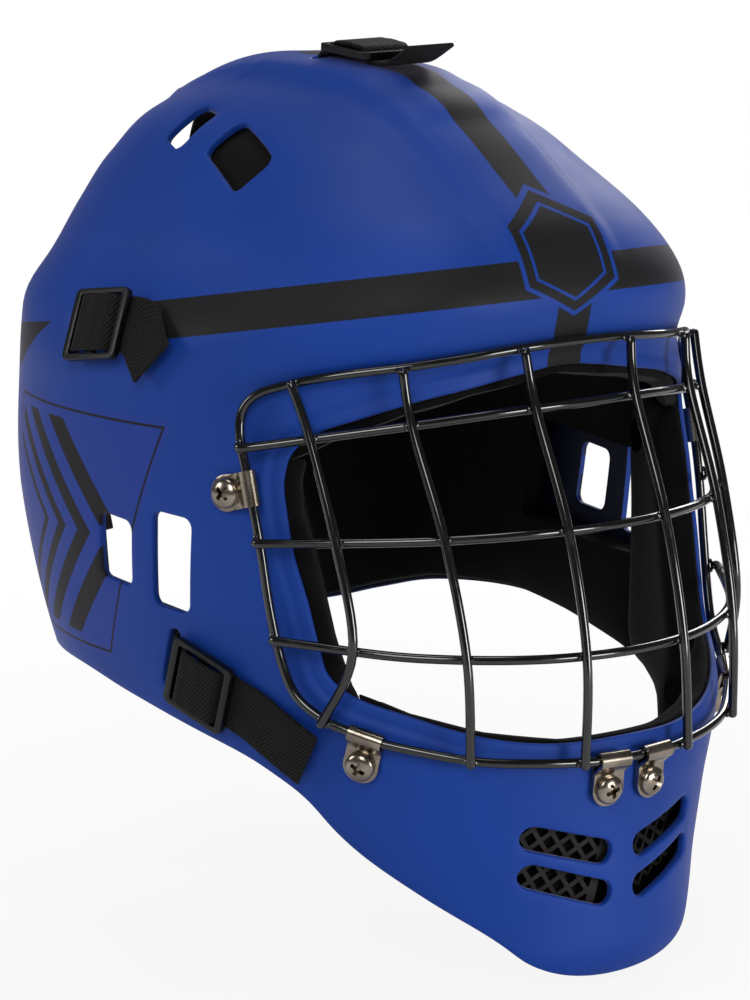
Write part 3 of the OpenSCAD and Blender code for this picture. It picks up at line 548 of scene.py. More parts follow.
@dataclass(frozen=True)
class FoamFinish:
    """Closed-cell EVA foam, cut and skived: dead black with fine open pores."""

    colour: str = "#050506"
    lit: str = "#0c0c0d"

    def make(self) -> bpy.types.Material:
        """Builds the material."""
        r = Recipe("black EVA foam")
        pores = r.take("ShaderNodeTexVoronoi", "Distance", {"Vector": r.place(), "Scale": 1 / (0.8 * MM)})
        nap = r.noise(0.6, 4.0, 0.7)
        tone = r.noise(18.0).ramp(0.3, 0.7) * nap.ramp(0.3, 0.7)
        skin = nap.bump(0.12, 0.6, pores.bump(0.15, 0.5))
        return r.set(Base_Color=r.mix(tone, self.colour, self.lit), Roughness=0.92, Normal=skin,
                     Sheen_Weight=0.04, Sheen_Roughness=0.5, Specular_IOR_Level=0.15)


@dataclass(frozen=True)
class WebbingFinish:
    """Nylon webbing woven in raised slanting knots, 1.3 mm apart along it and across it."""

    pitch: float = 1.3
    # the colour of the hollows between the knots is a painted shade, darker than the thread
    hollow: str = "#030303"
    thread: str = "#0e0e0f"

    def make(self) -> bpy.types.Material:
        """Builds the material, which reads the webbing's own UV map in millimetres."""
        r = Recipe("woven nylon webbing")
        turns = 2 * math.pi / self.pitch
        across, along = (axis * turns for axis in r.axes(r.take("ShaderNodeUVMap", 0, uv_map="weave"))[:2])
        slant = (along + across * 0.55).sine()
        rib = (across * 1.15 - along * 0.28).sine()
        height = (slant + 1.0) * 0.3 + (rib + 1.0) * 0.2 + r.noise(0.35, roughness=0.7) * 0.25
        # painted shade: the base colour darkens with the weave's height, darkest in the hollows between the
        # knots
        tone = height.ramp(0.2, 1.0)
        return r.set(Base_Color=r.mix(tone, self.hollow, self.thread), Normal=height.bump(0.5, 0.9),
                     Roughness=tone.ramp(0, 1, 0.85, 0.6), Sheen_Weight=0.03, Sheen_Roughness=0.4,
                     Specular_IOR_Level=0.22)


@dataclass(frozen=True)
class PlasticFinish:
    """Black moulded plastic with a fine spark-eroded grain, rubbed a little brighter by use."""

    name: str
    colour: str
    roughness: float = 0.42
    grain: float = 0.3
    rubbed: str = "#161618"

    def make(self) -> bpy.types.Material:
        """Builds the material."""
        r = Recipe(self.name)
        rub = r.noise(9.0, 4.0).ramp(0.42, 0.75)
        return r.set(Base_Color=r.mix(rub * 0.3, self.colour, self.rubbed), Specular_IOR_Level=0.35,
                     Roughness=rub.ramp(0, 1, self.roughness, self.roughness - 0.08),
                     Normal=r.noise(self.grain, roughness=0.6).bump(0.03, 0.5))


@dataclass(frozen=True)
class Finishes:
    """Every material of the helmet, made once."""

    shell: bpy.types.Material
    wire: bpy.types.Material
    nickel: bpy.types.Material
    foam: bpy.types.Material
    webbing: bpy.types.Material
    acetal: bpy.types.Material
    lattice: bpy.types.Material
    plate: bpy.types.Material

    @staticmethod
    def make() -> "Finishes":
        """Makes them all."""
        plastics = (PlasticFinish("moulded acetal", "#060607", 0.36),
                    PlasticFinish("moulded lattice plastic", "#0a0a0b", 0.6),
                    PlasticFinish("moulded plate plastic", "#101011", 0.48, 0.5))
        finishes = (ShellFinish(), WireFinish(), NickelFinish(), FoamFinish(), WebbingFinish(), *plastics)
        return Finishes(*(finish.make() for finish in finishes))


class Bench:
    """Small steps that many pieces share, worked on the active object as by hand."""

    @staticmethod
    def clear() -> None:
        """Deselects everything."""
        if bpy.context.mode != "OBJECT":
            bpy.ops.object.mode_set(mode="OBJECT")
        bpy.ops.object.select_all(action="DESELECT")

    @staticmethod
    def pick(*objects: bpy.types.Object) -> bpy.types.Object:
        """Selects objects and makes the first one active.

        Args:
            *objects: What to select.

        Returns:
            The first of them.
        """
        Bench.clear()
        for o in objects:
            o.select_set(True)
        bpy.context.view_layer.objects.active = objects[0]
        return objects[0]

    @staticmethod
    def take(name: str) -> bpy.types.Object:
        """Names the primitive just added, applies its place, and returns it."""
        o = bpy.context.active_object
        Bench.pick(o)
        o.name = o.data.name = name
        bpy.ops.object.transform_apply(location=True, rotation=True, scale=True)
        return o

    @staticmethod
    def new(name: str, data: bpy.types.ID) -> bpy.types.Object:
        """New object of that name round its data."""
        o = bpy.data.objects.new(name, data)
        bpy.context.collection.objects.link(o)
        return o

    @staticmethod
    def coat(o: bpy.types.Object, material: bpy.types.Material) -> None:
        """Gives an object one material in place of what it had."""
        o.data.materials.clear()
        o.data.materials.append(material)

    @staticmethod
    def grid(name: str, rows: int, columns: int) -> bpy.types.Object:
        """Flat grid primitive of rows by columns of points, ready to be shaped."""
        Bench.clear()
        bpy.ops.mesh.primitive_grid_add(x_subdivisions=columns - 1, y_subdivisions=rows - 1, size=1)
        return Bench.take(name)

    @staticmethod
    def shape(o: bpy.types.Object, points: Points) -> None:
        """Moves every point of a mesh to its place, given in millimetres."""
        o.data.vertices.foreach_set("co", (np.asarray(points, float) * MM).ravel())
        o.data.update()

    @staticmethod
    def modify(o: bpy.types.Object, kind: str, **settings: object) -> None:
        """Adds a modifier, sets it and applies it."""
        Bench.pick(o)
        m = o.modifiers.new(kind, kind)
        for key, value in settings.items():
            setattr(m, key, value)
        bpy.ops.object.modifier_apply(modifier=m.name)

    @staticmethod
    def cut(o: bpy.types.Object, *cutters: bpy.types.Object) -> None:
        """Cuts the shape of each cutter out of an object and removes the cutters."""
        for c in cutters:
            Bench.modify(o, "BOOLEAN", object=c, operation="DIFFERENCE", solver="EXACT")
            bpy.data.objects.remove(c, do_unlink=True)

    @staticmethod
    def tidy(o: bpy.types.Object, angle: float = 35.0) -> None:
        """Merges doubles, turns the faces outwards and shades them smooth up to an angle."""
        Bench.seal(o)
        Bench.shade(o, angle)

    @staticmethod
    def shade(o: bpy.types.Object, angle: float) -> None:
        """Shades an object smooth up to an angle."""
        Bench.pick(o)
        bpy.ops.object.shade_smooth_by_angle(angle=math.radians(angle))

    @staticmethod
    def round_edges(o: bpy.types.Object, width: float, segments: int = 3, angle: float = 50.0) -> None:
        """Rounds every edge that turns more than an angle."""
        Bench.modify(o, "BEVEL", width=width * MM, segments=segments, limit_method="ANGLE",
                     angle_limit=math.radians(angle))

    @staticmethod
    def seal(o: bpy.types.Object, close: Callable | None = None) -> None:
        """Merges doubles, closes the open edges with a mesh operator, and turns the faces outwards."""
        Bench.pick(o)
        bpy.ops.object.mode_set(mode="EDIT")
        bpy.ops.mesh.select_all(action="SELECT")
        bpy.ops.mesh.remove_doubles(threshold=0.01 * MM)
        if close:
            bpy.ops.mesh.select_all(action="DESELECT")
            bpy.ops.mesh.select_non_manifold()
            close()
            bpy.ops.mesh.select_all(action="SELECT")
        bpy.ops.mesh.normals_make_consistent(inside=False)
        bpy.ops.object.mode_set(mode="OBJECT")

    @staticmethod
    def box(name: str, size: Sequence, middle: Sequence = (0, 0, 0), lean: float = 0.0) -> bpy.types.Object:
        """A box of a size in millimetres, leant back by an angle and moved to its middle."""
        Bench.clear()
        bpy.ops.mesh.primitive_cube_add(size=1)
        o = Bench.take(name)
        bpy.ops.transform.resize(value=tuple(v * MM for v in size))
        if lean:
            bpy.ops.transform.rotate(value=math.radians(-lean), orient_axis="X", center_override=(0, 0, 0))
        bpy.ops.transform.translate(value=tuple(v * MM for v in middle))
        bpy.ops.object.transform_apply(location=True, rotation=True, scale=True)
        return o

    @staticmethod
    def rod(name: str, radius: float, length: float, middle: float = 0.0,
            corners: int = 32) -> bpy.types.Object:
        """An upright cylinder in millimetres, its middle at a height."""
        Bench.clear()
        bpy.ops.mesh.primitive_cylinder_add(vertices=corners, radius=radius * MM, depth=length * MM,
                                            location=(0, 0, middle * MM))
        return Bench.take(name)

    @staticmethod
    def join(name: str, objects: Sequence[bpy.types.Object]) -> bpy.types.Object:
        """Joins objects into one of that name."""
        o = Bench.pick(*objects)
        if len(objects) > 1:
            bpy.ops.object.join()
        o.name = o.data.name = name
        return o

    @staticmethod
    def seat(o: bpy.types.Object, place: "Place") -> None:
        """Moves a piece modelled at the origin, in metres, to a place on the shell."""
        o.data.transform(place.matrix())
        o.data.update()

    @staticmethod
    def dress(o: bpy.types.Object, material: bpy.types.Material, slot: str, body: str,
              *nodes: str) -> bpy.types.Object:
        """Gives a finished piece its material and body, and hides the nodes that it stands for.

        Args:
            o: The piece.
            material: Its material.
            slot: Not used.
            body: The body that it rides on, or nothing.
            *nodes: The CAD nodes that it replaces.

        Returns:
            The piece.
        """
        Bench.coat(o, material)
        if body:
            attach(o, body)
        if nodes:
            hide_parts(*nodes)
        LOG.info("%s: %d faces", o.name, len(o.data.polygons))
        return o


@dataclass(frozen=True)
class Place:
    """A spot on the shell with its own axes: along, across and outwards, in millimetres."""

    spot: Points
    along: Points
    across: Points
    out: Points

    def at(self, s: float, c: float, h: float) -> Points:
        """A point by its distances along, across and outwards."""
        return self.spot + s * self.along + c * self.across + h * self.out

    def matrix(self) -> Matrix:
        """The place as a matrix in metres."""
        m = np.eye(4)
        m[:3, 0], m[:3, 1], m[:3, 2], m[:3, 3] = self.along, self.across, self.out, self.spot * MM
        return Matrix(m.tolist())


def flip(v: Points, hand: int) -> Points:
    """Mirrors a point or direction to one side."""
    return np.asarray(v) * np.array([hand, 1, 1])


@dataclass(frozen=True)
class FaceFrame:
    """The face opening, the rim wire that follows it and the six clips that hold it."""

    half: float = 90.0
    top: float = 207.0
    bottom: float = 86.5
    wire: float = 3.2
    weld: float = 0.06
    lift: float = 3.0
    inner: float = 22.0
    middle: float = 60.0
    outer: float = 86.0
    reach: float = 10.5

    def line(self) -> Points:
        """Outline of the face opening, across and up."""
        w, t, b = self.half, self.top, self.bottom
        right = [(0, t), (17, t - 1.6), (35, t - 4.5), (w - 33, t - 9), (w - 12, t - 17), (w - 4, t - 24),
                 (w - 1, t - 32), (w, t - 41), (w - 0.4, t - 58), (w - 2.4, b + 46), (w - 4, b + 31.5),
                 (w - 5.6, b + 21.5), (w - 11, b + 15), (w - 21, b + 10.5), (w - 35, b + 5),
                 (w - 49, b + 1.7), (24, b), (0, b)]
        return spline(right + [(-x, h) for x, h in right[-2:0:-1]], 6, True)

    @property
    def layer(self) -> float:
        """Distance between two wires welded one on the other."""
        return self.wire + self.weld

    def stops(self) -> list[tuple[float, float]]:
        """Places of one half of the rim wire, across and up."""
        i, m, o = self.inner, self.middle, self.outer
        return [(0, 216.5), (i, 215.9), (42, 213.9), (m - 1.5, 211.5), (o - 13, 208.5), (o - 2.5, 204.5),
                (91.6, 199), (94.5, 189), (94.4, 169), (93.6, 150), (92.6, 130), (90.8, 112), (88.4, 101.5),
                (83.8, 94.8), (80.4, 92.4), (76, 90), (71, 88), (m - 6.5, 83.8), (38, 82.2), (i - 1, 81),
                (9, 80.5)]

    def out(self, stop: tuple[float, float]) -> Points:
        """Direction away from the shell at a stop."""
        return FORM.normal(FORM.front(*stop))

    def at(self, stop: tuple[float, float], hand: int = 1) -> Points:
        """Middle of the rim wire at a stop."""
        rise = self.lift + 0.7 * float(soft((205 - stop[1]) / 25))
        return flip(FORM.front(*stop) + rise * self.out(stop), hand)

    def over(self, stop: tuple[float, float]) -> Points:
        """Middle of a wire that is welded on the rim wire at a stop."""
        return self.at(stop) + self.layer * self.out(stop)

    def rim(self) -> Points:
        """Path of the rim wire."""
        s = self.stops()
        return spline([self.at(e) for e in s] + [self.at(e, -1) for e in s[:0:-1]], 8, True)

    def bars(self) -> list[tuple[float, float, float, float, float]]:
        """Crossbars: height and reach in the middle, drop and depth at the sides, height of the end."""
        return [(195.6, FORM.brow_reach + 7.6, -12.5, 86, 183), (156.8, FORM.chin_reach - 7, -4, 93, 152.5),
                (116.2, FORM.chin_reach + 3, 3.5, 96, 120.5)]

    def bar(self, k: int, steps: int = 8) -> Points:
        """Path of a crossbar."""
        level, reach, drop, depth, end_level = self.bars()[k]
        edge = [self.stops()[i] for i in range(11, 6, -1)]
        stop = (np.interp(end_level, [e[1] for e in edge], [e[0] for e in edge]), end_level)
        p = self.over(stop)
        t = unit(np.cross([0, 0, 1], self.out(stop)))
        inner, tip = p - 5 * t, p + 1.2 * t
        middle = []
        for q in (-76, -60, -41, -self.inner, 0, self.inner, 41, 60, 76):
            u = abs(q) / 98
            bow = depth * (1 - (1 - u ** 1.95) ** 0.513)
            middle.append((q, bow - reach, level + drop * (abs(q) / 96) ** 2.3 - FORM.opening_height))
        run = spline([flip(p, -1), flip(inner, -1), *middle, inner, p], steps)
        return np.vstack([flip(tip, -1)[None], run, tip[None]])

    def upright(self, u: int) -> tuple[Points, Points]:
        """Path of an upright on the left, and the spots where it is welded."""
        m, o, i = self.middle, self.outer, self.inner
        across = [(i - 0.8, i - 1.4, i - 1.3), (m - 1, m - 2.2, m - 3.5), (o - 2.2, o - 3.2, o - 4)][u]
        top, low = (self.stops()[k] for k in ((1, 19), (3, 17), (5, 13))[u])
        a, z = self.over(top), self.over(low)
        on, way = [], []
        for k, x in enumerate(across):
            p = self.bar(k, 2)
            j = int(np.where((p[:-1, 0] <= x) & (p[1:, 0] > x))[0][0])
            t = (x - p[j, 0]) / (p[j + 1, 0] - p[j, 0])
            on.append(p[j] + t * (p[j + 1] - p[j]))
            way.append(unit(p[j + 1] - p[j]))
        run = [a, *on, z]
        lifted = []
        for k, c in enumerate(on):
            n = unit(np.cross(way[k], unit(run[k + 2] - run[k])))
            lifted.append(c + self.layer * (-1 if n[1] > 0 else 1) * n)
        first = a + 1.6 * unit(a - lifted[0])
        last = z + 1.8 * unit(z - lifted[2])
        path = np.vstack([first[None], spline([a, *lifted, z], 8), last[None]])
        under = [self.at(top), *on, self.at(low)]
        return path, (np.array(under) + np.array([a, *lifted, z])) / 2

    def clip_place(self, i: int, hand: int) -> tuple[Place, float, float]:
        """Where a clip's screw stands, and how far along and out from it the wire runs."""
        s = self.stops()
        base = FORM.front(*s[i])
        following = self.at(s[i], -1) if i == len(s) - 1 else self.at(s[i + 1])
        t = unit(self.at(s[i - 1]) - following)
        d = unit(np.cross(self.out(s[i]), t))
        away = 1 if d @ (base - np.array([0, -150, 60])) > 0 else -1
        far = base + (self.reach - 1.5 if i < 10 else self.reach) * away * d
        spot = FORM.front(far[0], FORM.height(far))
        m = FORM.normal(spot)
        x = unit(t - (t @ m) * m)
        y = np.cross(m, x)
        w = self.at(s[i]) - spot
        return Place(*(flip(v, hand) for v in (spot, hand * x, y, m))), float(w @ y), float(w @ m)


FACE = FaceFrame()
CLIPS = [("temple", 8), ("jaw", 15), ("chin", 20)]


@dataclass(frozen=True)
class Strap:
    """One strap of webbing: where its slot is, which way it leaves it, and how long its outer end is."""

    name: str
    hand: int
    y: float
    h: float
    lean: float
    turn: float
    length: float
    width: float = 20.0
    thick: float = 1.5
    gap: float = 0.2
    slot: float = 5.0
    room: float = 0.6
    buckle: float = 27.0
    bar: float = 2.8
    arc: float = 9.0
    frame_thick: float = 2.6

    @property
    def buckle_at(self) -> float:
        """Distance of the buckle's middle from the slot."""
        return self.slot / 2 + 1 + self.buckle / 2

    @property
    def tail_from(self) -> float:
        """Distance at which the tail leaves the buckle."""
        return self.buckle_at + self.buckle / 2 + 1

    def point(self, s: float) -> Points:
        """Point of the shell under the strap at a distance from the slot."""
        t, b = max(s - self.tail_from, 0), min(s, self.tail_from)
        e, r = math.radians(self.lean), self.arc / math.radians(self.turn or 1)
        a = e + min(t, self.arc) / r
        more = max(t - self.arc, 0)
        y = self.y - b * math.cos(e) - r * (math.sin(a) - math.sin(e)) - more * math.cos(a)
        h = self.h + b * math.sin(e) + r * (math.cos(e) - math.cos(a)) + more * math.sin(a)
        if self.hand:
            return FORM.side(y, h, self.hand)
        return FORM.crown(0.0, y) + np.array([0, 0, FORM.crown_rise])

    def normal(self, s: float) -> Points:
        """Direction away from the shell there."""
        p = self.point(s)
        return FORM.normal(p) if self.hand else FORM.crown_normal(p[0], p[1])

    def place(self, s: float) -> Place:
        """The spot on the shell at a distance from the slot, with its axes."""
        n = self.normal(s)
        d = self.point(s + 1) - self.point(s - 1)
        t = unit(d - (d @ n) * n)
        return Place(self.point(s), t, np.cross(n, t), n)

    @property
    def lower(self) -> bool:
        """Whether it is one of the two lower straps."""
        return self.name.startswith("lower")

    @property
    def low(self) -> float:
        """Height of the webbing's middle on the shell."""
        return self.thick / 2 + self.gap

    @property
    def base(self) -> float:
        """Height of the buckle's underside."""
        return self.thick + 2 * self.gap

    @property
    def inner_depth(self) -> float:
        """Depth of the webbing inside the shell."""
        return FORM.wall + self.gap + 0.3 + self.thick / 2

    def path(self) -> tuple[Points, Points]:
        """Middle line of the outer end and its normals, from the slot to the cut end."""
        g, f = self.place(0), self.place(self.buckle_at)
        b, low, bar = self.buckle / 2, self.low, self.bar
        high = self.base + self.frame_thick + self.gap + self.thick / 2
        extra = 0 if self.hand else FORM.crown_rise
        deep = self.inner_depth + extra + (0.2 if self.lower else 1.0)
        enter = [(-3, -deep), (-1.6, 0.4 - deep), (-0.5, 0.3 - FORM.wall - extra), (0.4, -1.2), (1.5, 0.35),
                 (3, low - 0.05)]
        rise = [(0.8, low), (bar + 0.1, low + 0.15), (bar + 1.7, (low + high) / 2), (bar + 3.4, high - 0.3),
                (10, high)]
        thread = [(s - b, h) for s, h in rise] + [(0, high + 0.2)] + [(b - s, h) for s, h in rise[::-1]]
        thread.append((b + 1.5, low + 0.1))
        points = [g.at(s, 0, h) for s, h in enter] + [f.at(s, 0, h) for s, h in thread]
        normals = [g.out] * len(enter) + [f.out] * len(thread)
        for t in (0.25, 0.5, 0.75, 1.0):
            s = self.tail_from + (self.length - self.tail_from) * t
            lift = (3.5 if self.lower else 4.5) * t ** 1.5 if self.hand else 2 * t + 8 * t ** 3
            points.append(self.point(s) + (low + lift) * self.normal(s))
            normals.append(self.normal(s))
        return np.array(points), np.array(normals)

    def run(self) -> tuple[Points, Points]:
        """Middle line of the inner run and its normals, from the slot to the back plate."""
        return self.side_run() if self.hand else self.top_run()

    def top_run(self) -> tuple[Points, Points]:
        """Inner run of the top strap: back under the crown, then down behind the head."""
        depth, low, high = self.inner_depth + 0.9, 225, FORM.shell_height - 16.5
        y = self.y + 3.4 + 9 * np.arange(6.0)
        over, up = FORM.crown(0 * y, y), FORM.crown_normal(0 * y, y)
        sunk = depth + 0.12 * np.arange(6)
        t = np.linspace(0, 1, 8)
        behind = FORM.ring(np.full(8, 90.0), high + t * (low - high))
        out = FORM.normal(behind + [0.001, 0, 0])
        points = [over - sunk[:, None] * up, behind - (depth + 0.6 * (1 - t))[:, None] * out]
        return np.vstack(points), np.vstack([up, out])

    def side_run(self) -> tuple[Points, Points]:
        """Inner run of a side strap: round the inside of the wing to the plate."""
        # the plate's edge is 24 degrees from the rear, and the run ends 9 degrees inside it
        stop = 90 - 24 + 9
        start = FORM.angle(FORM.side(self.y + (5.2 if self.lower else 3.4), self.h))
        t = np.linspace(0, 1, 13)
        p = FORM.ring(start + t * (stop - start), self.h + (22 if self.lower else -8) * (1 - (1 - t) ** 3))
        n = FORM.normal(p)
        return flip(p - (self.inner_depth + (0.2 if self.lower else 1.4)) * n, self.hand), flip(n, self.hand)


STRAPS = [Strap("top", 0, -7, 0, 0, 0, 47)]
STRAPS += [Strap(f"upper_{hand.word}", hand.value, 1, 213.5, 8, -52, 51.5) for hand in Hand]
STRAPS += [Strap(f"lower_{hand.word}", hand.value, -46.5, 106, -20, -10, 62) for hand in Hand]


@dataclass(frozen=True)
class Outline:
    """The edge of a hole or of the whole shell, as points of the outer surface.

    The points run so that the shell lies to their right. Each ring is a row of points at a distance
    from the edge, and lip says how deep the edge is set back.
    """

    points: Points
    rings: tuple[float, ...] = (0, 0.12, 0.35, 0.9)
    lip: float = 0.0

    def inner(self, distance: float) -> Points:
        """The outline moved over the surface into the shell by a distance."""
        p = self.points
        t = unit(np.roll(p, -1, axis=0) - np.roll(p, 1, axis=0))
        q = p - distance * unit(np.cross(FORM.normal(p), t))
        if FORM.bottom(p) > FORM.seam + 1:
            return FORM.crown(q[:, 0], q[:, 1])
        return FORM.ring(FORM.angle(q), FORM.height(q))


@dataclass(frozen=True)
class Row:
    """A row of points along an edge, where they lie flat, and how deep the outer skin is there."""

    points: Points
    flat: Points
    depth: float
    closed: bool


@dataclass
class ShellMoulding:
    """The one-piece shell: two sheets over the sections with rounded edges at every opening.

    Its double curves and its many openings can't be had from a primitive with operators, so the
    sheet is laid out flat, meshed between the outlines, and wrapped onto the sections.
    """

    finishes: Finishes
    wall: float = 3.0
    edge_round: float = 0.9
    lip_depth: float = 1.0
    lip_width: float = 5.6
    vent_corner: float = 3.5
    window_corner: float = 3.0
    chin_vent_radius: float = 4.3
    screw_hole: float = 2.7
    cell: float = 3.1
    ridge_cell: float = 1.1
    spread: float = 2.1
    # the lower edge seen from the side, from the chin to the rear: place front to back and height
    jaw: tuple = ((-175, -2), (-159, 0), (-157, 4), (-153, 10.5), (-146, 19.5), (-129, 33), (-114, 45),
                  (-105, 54), (-97, 64), (-88, 70.5), (-74, 77), (-50, 83), (-20, 89), (10, 93.5), (45, 93),
                  (62, 89), (76, 84.5), (100, 82))

    def jaw_height(self, y: Points) -> Points:
        """Height of the shell's lower edge at a place front to back."""
        c = spline(self.jaw, 8)
        return np.interp(y, c[:, 0], c[:, 1])

    def border(self) -> Outline:
        """The lower edge and the rear opening as one closed line."""
        # rounded corners of the rear opening: place across, height and radius
        corners = ((46, 60, 6), (32, 239, 20), (18, 257, 22))
        rear = respace(hull_of([(s * x, h, r) for x, h, r in corners for s in (-1, 1)]), 1.2)
        right = rear[(rear[:, 0] >= 0) & (rear[:, 1] > 78)]
        right = right[np.argsort(-right[:, 1] + 1e-3 * right[:, 0])]
        right = np.vstack([[0, 279], right[right[:, 0] > 0.3]])
        wing = FORM.rear(right[:, 0], right[:, 1])
        wing = wing[FORM.height(wing) > self.jaw_height(wing[:, 1]) + 0.2]
        turns = np.linspace(FORM.angle(wing[-1]), -90, 700)
        lo, hi = np.full(turns.shape, 0.2), np.full(turns.shape, 150.0)
        for _ in range(30):
            mid = (lo + hi) / 2
            cut = mid < self.jaw_height(FORM.ring(turns, mid)[:, 1])
            lo, hi = np.where(cut, mid, lo), np.where(cut, hi, mid)
        half = respace(np.vstack([wing, FORM.ring(turns, (lo + hi) / 2)[1:]]), 1.5, False)
        for _ in range(2):
            half[1:-1] = (half[:-2] + 2 * half[1:-1] + half[2:]) / 4
        half[0, 0] = half[-1, 0] = 0
        whole = np.vstack([half, flip(half[-2:0:-1], -1)])
        return Outline(FORM.ring(FORM.angle(whole), FORM.height(whole)))

    def holes(self) -> list[Outline]:
        """Every opening inside the shell."""
        line = respace(FACE.line(), 1.8)
        found = [Outline(FORM.front(*line.T), (0, 0.12, 0.35, 0.9, 3.4, 4.4, 5.4, 6.4, 7.6), self.lip_depth)]
        for hand in (-1, 1):
            found += [Outline(p) for p in self.vents(hand)]
            found += [Outline(p, (0, 0.15, 0.4)) for p in self.screw_holes(hand)]
        found += [Outline(self.slot(strap)) for strap in STRAPS]
        return [o if self.area(o.points) > 0 else replace(o, points=o.points[::-1]) for o in found]

    def vents(self, hand: int) -> list[Points]:
        """Outlines of the ear vents, crown windows and chin vents of one side."""
        out = []
        # ear vents: place front to back, height, half length and lean
        r = self.vent_corner
        for y, h, half, lean in ((-22, 140.5, 11.5, 5), (-50, 140, 16.5, 4)):
            corners = [(p * 5, q * (half - r), r) for p in (-1, 1) for q in (-1, 1)]
            across, up = respace(hull_of(corners), 1.0).T
            c, s = math.cos(math.radians(lean)), math.sin(math.radians(lean))
            out.append(FORM.side(y + across * c - up * s, h + across * s + up * c, hand))
        for corners in (((60.5, 8), (50, 8), (52, 0), (62.5, 1)),
                        ((63, -19), (55, -21), (61.5, -43.5), (68.5, -40.5))):
            x, y = respace(hull_of([(x, y, self.window_corner) for x, y in corners]), 1.0).T
            out.append(FORM.crown(hand * x, y))
        r = self.chin_vent_radius
        for low, rise in ((47.5, 6.6), (33.3, 7.6)):
            x, h = respace(hull_of([(9, low, r), (33, low + rise, r)]), 1.0).T
            out.append(FORM.front(hand * x, h))
        return out

    def screw_holes(self, hand: int) -> list[Points]:
        """Outlines of the screw holes of one side."""
        turn, r = np.radians(np.arange(0, 360, 15))[:, None], self.screw_hole
        out = []
        for _, i in CLIPS:
            place, _, _ = FACE.clip_place(i, hand)
            p = place.at(r * np.cos(turn), r * np.sin(turn), 0)
            out.append(FORM.front(p[:, 0], FORM.height(p)))
        return out

    def slot(self, strap: Strap) -> Points:
        """Outline of the slot that a strap goes through."""
        w = strap.width / 2 + strap.room - strap.slot / 2 + 1
        along, across = respace(hull_of([(0, s * w, strap.slot / 2) for s in (-1, 1)]), 0.9).T[..., None]
        p = strap.place(0).at(along, across, 0)
        return FORM.side(p[:, 1], FORM.height(p), strap.hand) if strap.hand else FORM.crown(p[:, 0], p[:, 1])

    def unroll(self, p: Points) -> Points:
        """Flat places of points round the shell, by angle across and by climb up."""
        return np.stack([self.spread * FORM.angle(p), self.climb(FORM.height(p))], axis=1)

    def roll_up(self, flat: Points) -> Points:
        """Points of the surface by their flat places round the shell."""
        hs = np.linspace(0, 298, 3000)
        return FORM.ring(flat[:, 0] / self.spread, np.interp(flat[:, 1], self.climb(hs), hs))

    def climb(self, h: Points) -> Points:
        """Length over the surface from the chin to a height."""
        hs = np.linspace(0, 298, 1200)
        f, r, w, _, _ = FORM.section(hs)
        reach = w * 0.5 + (r - f) * 0.25
        s = np.concatenate([[0], np.cumsum(np.hypot(np.diff(hs), np.diff(reach)))])
        return np.interp(h, hs, s)

    def area(self, p: Points) -> float:
        """Signed area of an outline as it lies flat: above nought where it runs anticlockwise."""
        q = p[:, :2] if FORM.bottom(p) > FORM.seam else self.unroll(p)
        n = np.roll(q, -1, axis=0)
        return float(np.sum(q[:, 0] * n[:, 1] - n[:, 0] * q[:, 1]))

    def depth(self, d: float, lip: float) -> float:
        """How far the sheet lies below the sections at a distance from an edge."""
        r = self.edge_round
        edge = r - math.sqrt(max(r * r - (r - min(d, r)) ** 2, 0))
        return edge + lip * float(soft((self.lip_width + 1.2 - d) / 2.4))

    def mesh_flat(self, flat: Points, loops: list[list[int]], holes: list[Points], border: Points) -> tuple:
        """Triangles between outlines.

        Args:
            flat: All flat points, those of the outlines first.
            loops: Numbers of the points of each closed ring.
            holes: Flat outlines of the holes.
            border: Flat outline of the sheet.

        Returns:
            For each new point its flat place and the number that it came from or -1, and the triangles.
        """
        edges = [(a, b) for loop in loops for a, b in zip(loop, loop[1:])]
        cloud = [Vector(p) for p in flat.tolist()]
        placed, _, faces, origin, _, _ = delaunay_2d_cdt(cloud, edges, [], 0, 1e-5)
        placed = np.array([tuple(p) for p in placed])
        faces = np.array([t for t in faces if len(t) == 3])
        middle = placed[faces].mean(axis=1)
        keep = inside(middle, border)
        for hole in holes:
            keep &= ~inside(middle, hole)
        return placed, np.array([o[0] if o else -1 for o in origin]), faces[keep]

    def make(self) -> bpy.types.Object:
        """Builds the shell.

        Returns:
            The finished object.
        """
        holes = self.holes()
        low = self.sheet([o for o in holes if FORM.bottom(o.points) < FORM.seam], self.border())
        top = self.sheet([o for o in holes if FORM.bottom(o.points) >= FORM.seam])
        return self.thicken(np.vstack([low[0], top[0]]), np.concatenate([low[1], top[1]]),
                            np.vstack([low[2], top[2] + len(low[0])]))

    def rows(self, holes: list[Outline], border: Outline | None) -> list[Row]:
        """Rows of points along every edge of a sheet, the seam last."""
        turns = np.linspace(-270, 90, 101)
        seam = FORM.ring(turns, np.full(turns.shape, FORM.seam))
        out = []
        for hole in holes:
            for d in hole.rings:
                p = hole.inner(d)
                out.append(Row(p, self.unroll(p) if border else p[:, :2], self.depth(d, hole.lip), True))
        if not border:
            return [*out, Row(seam[:-1], seam[:-1, :2], 0.0, True)]
        for d in border.rings:
            p = border.inner(d)
            p = np.vstack([p, p[:1]])
            flat = self.unroll(p)
            flat[[0, -1], 0] = self.spread * turns[[-1, 0]]
            out.append(Row(p, flat, self.depth(d, 0), False))
        flat = self.unroll(seam)
        flat[:, 0] = self.spread * turns
        return [*out, Row(seam, flat, 0.0, False)]

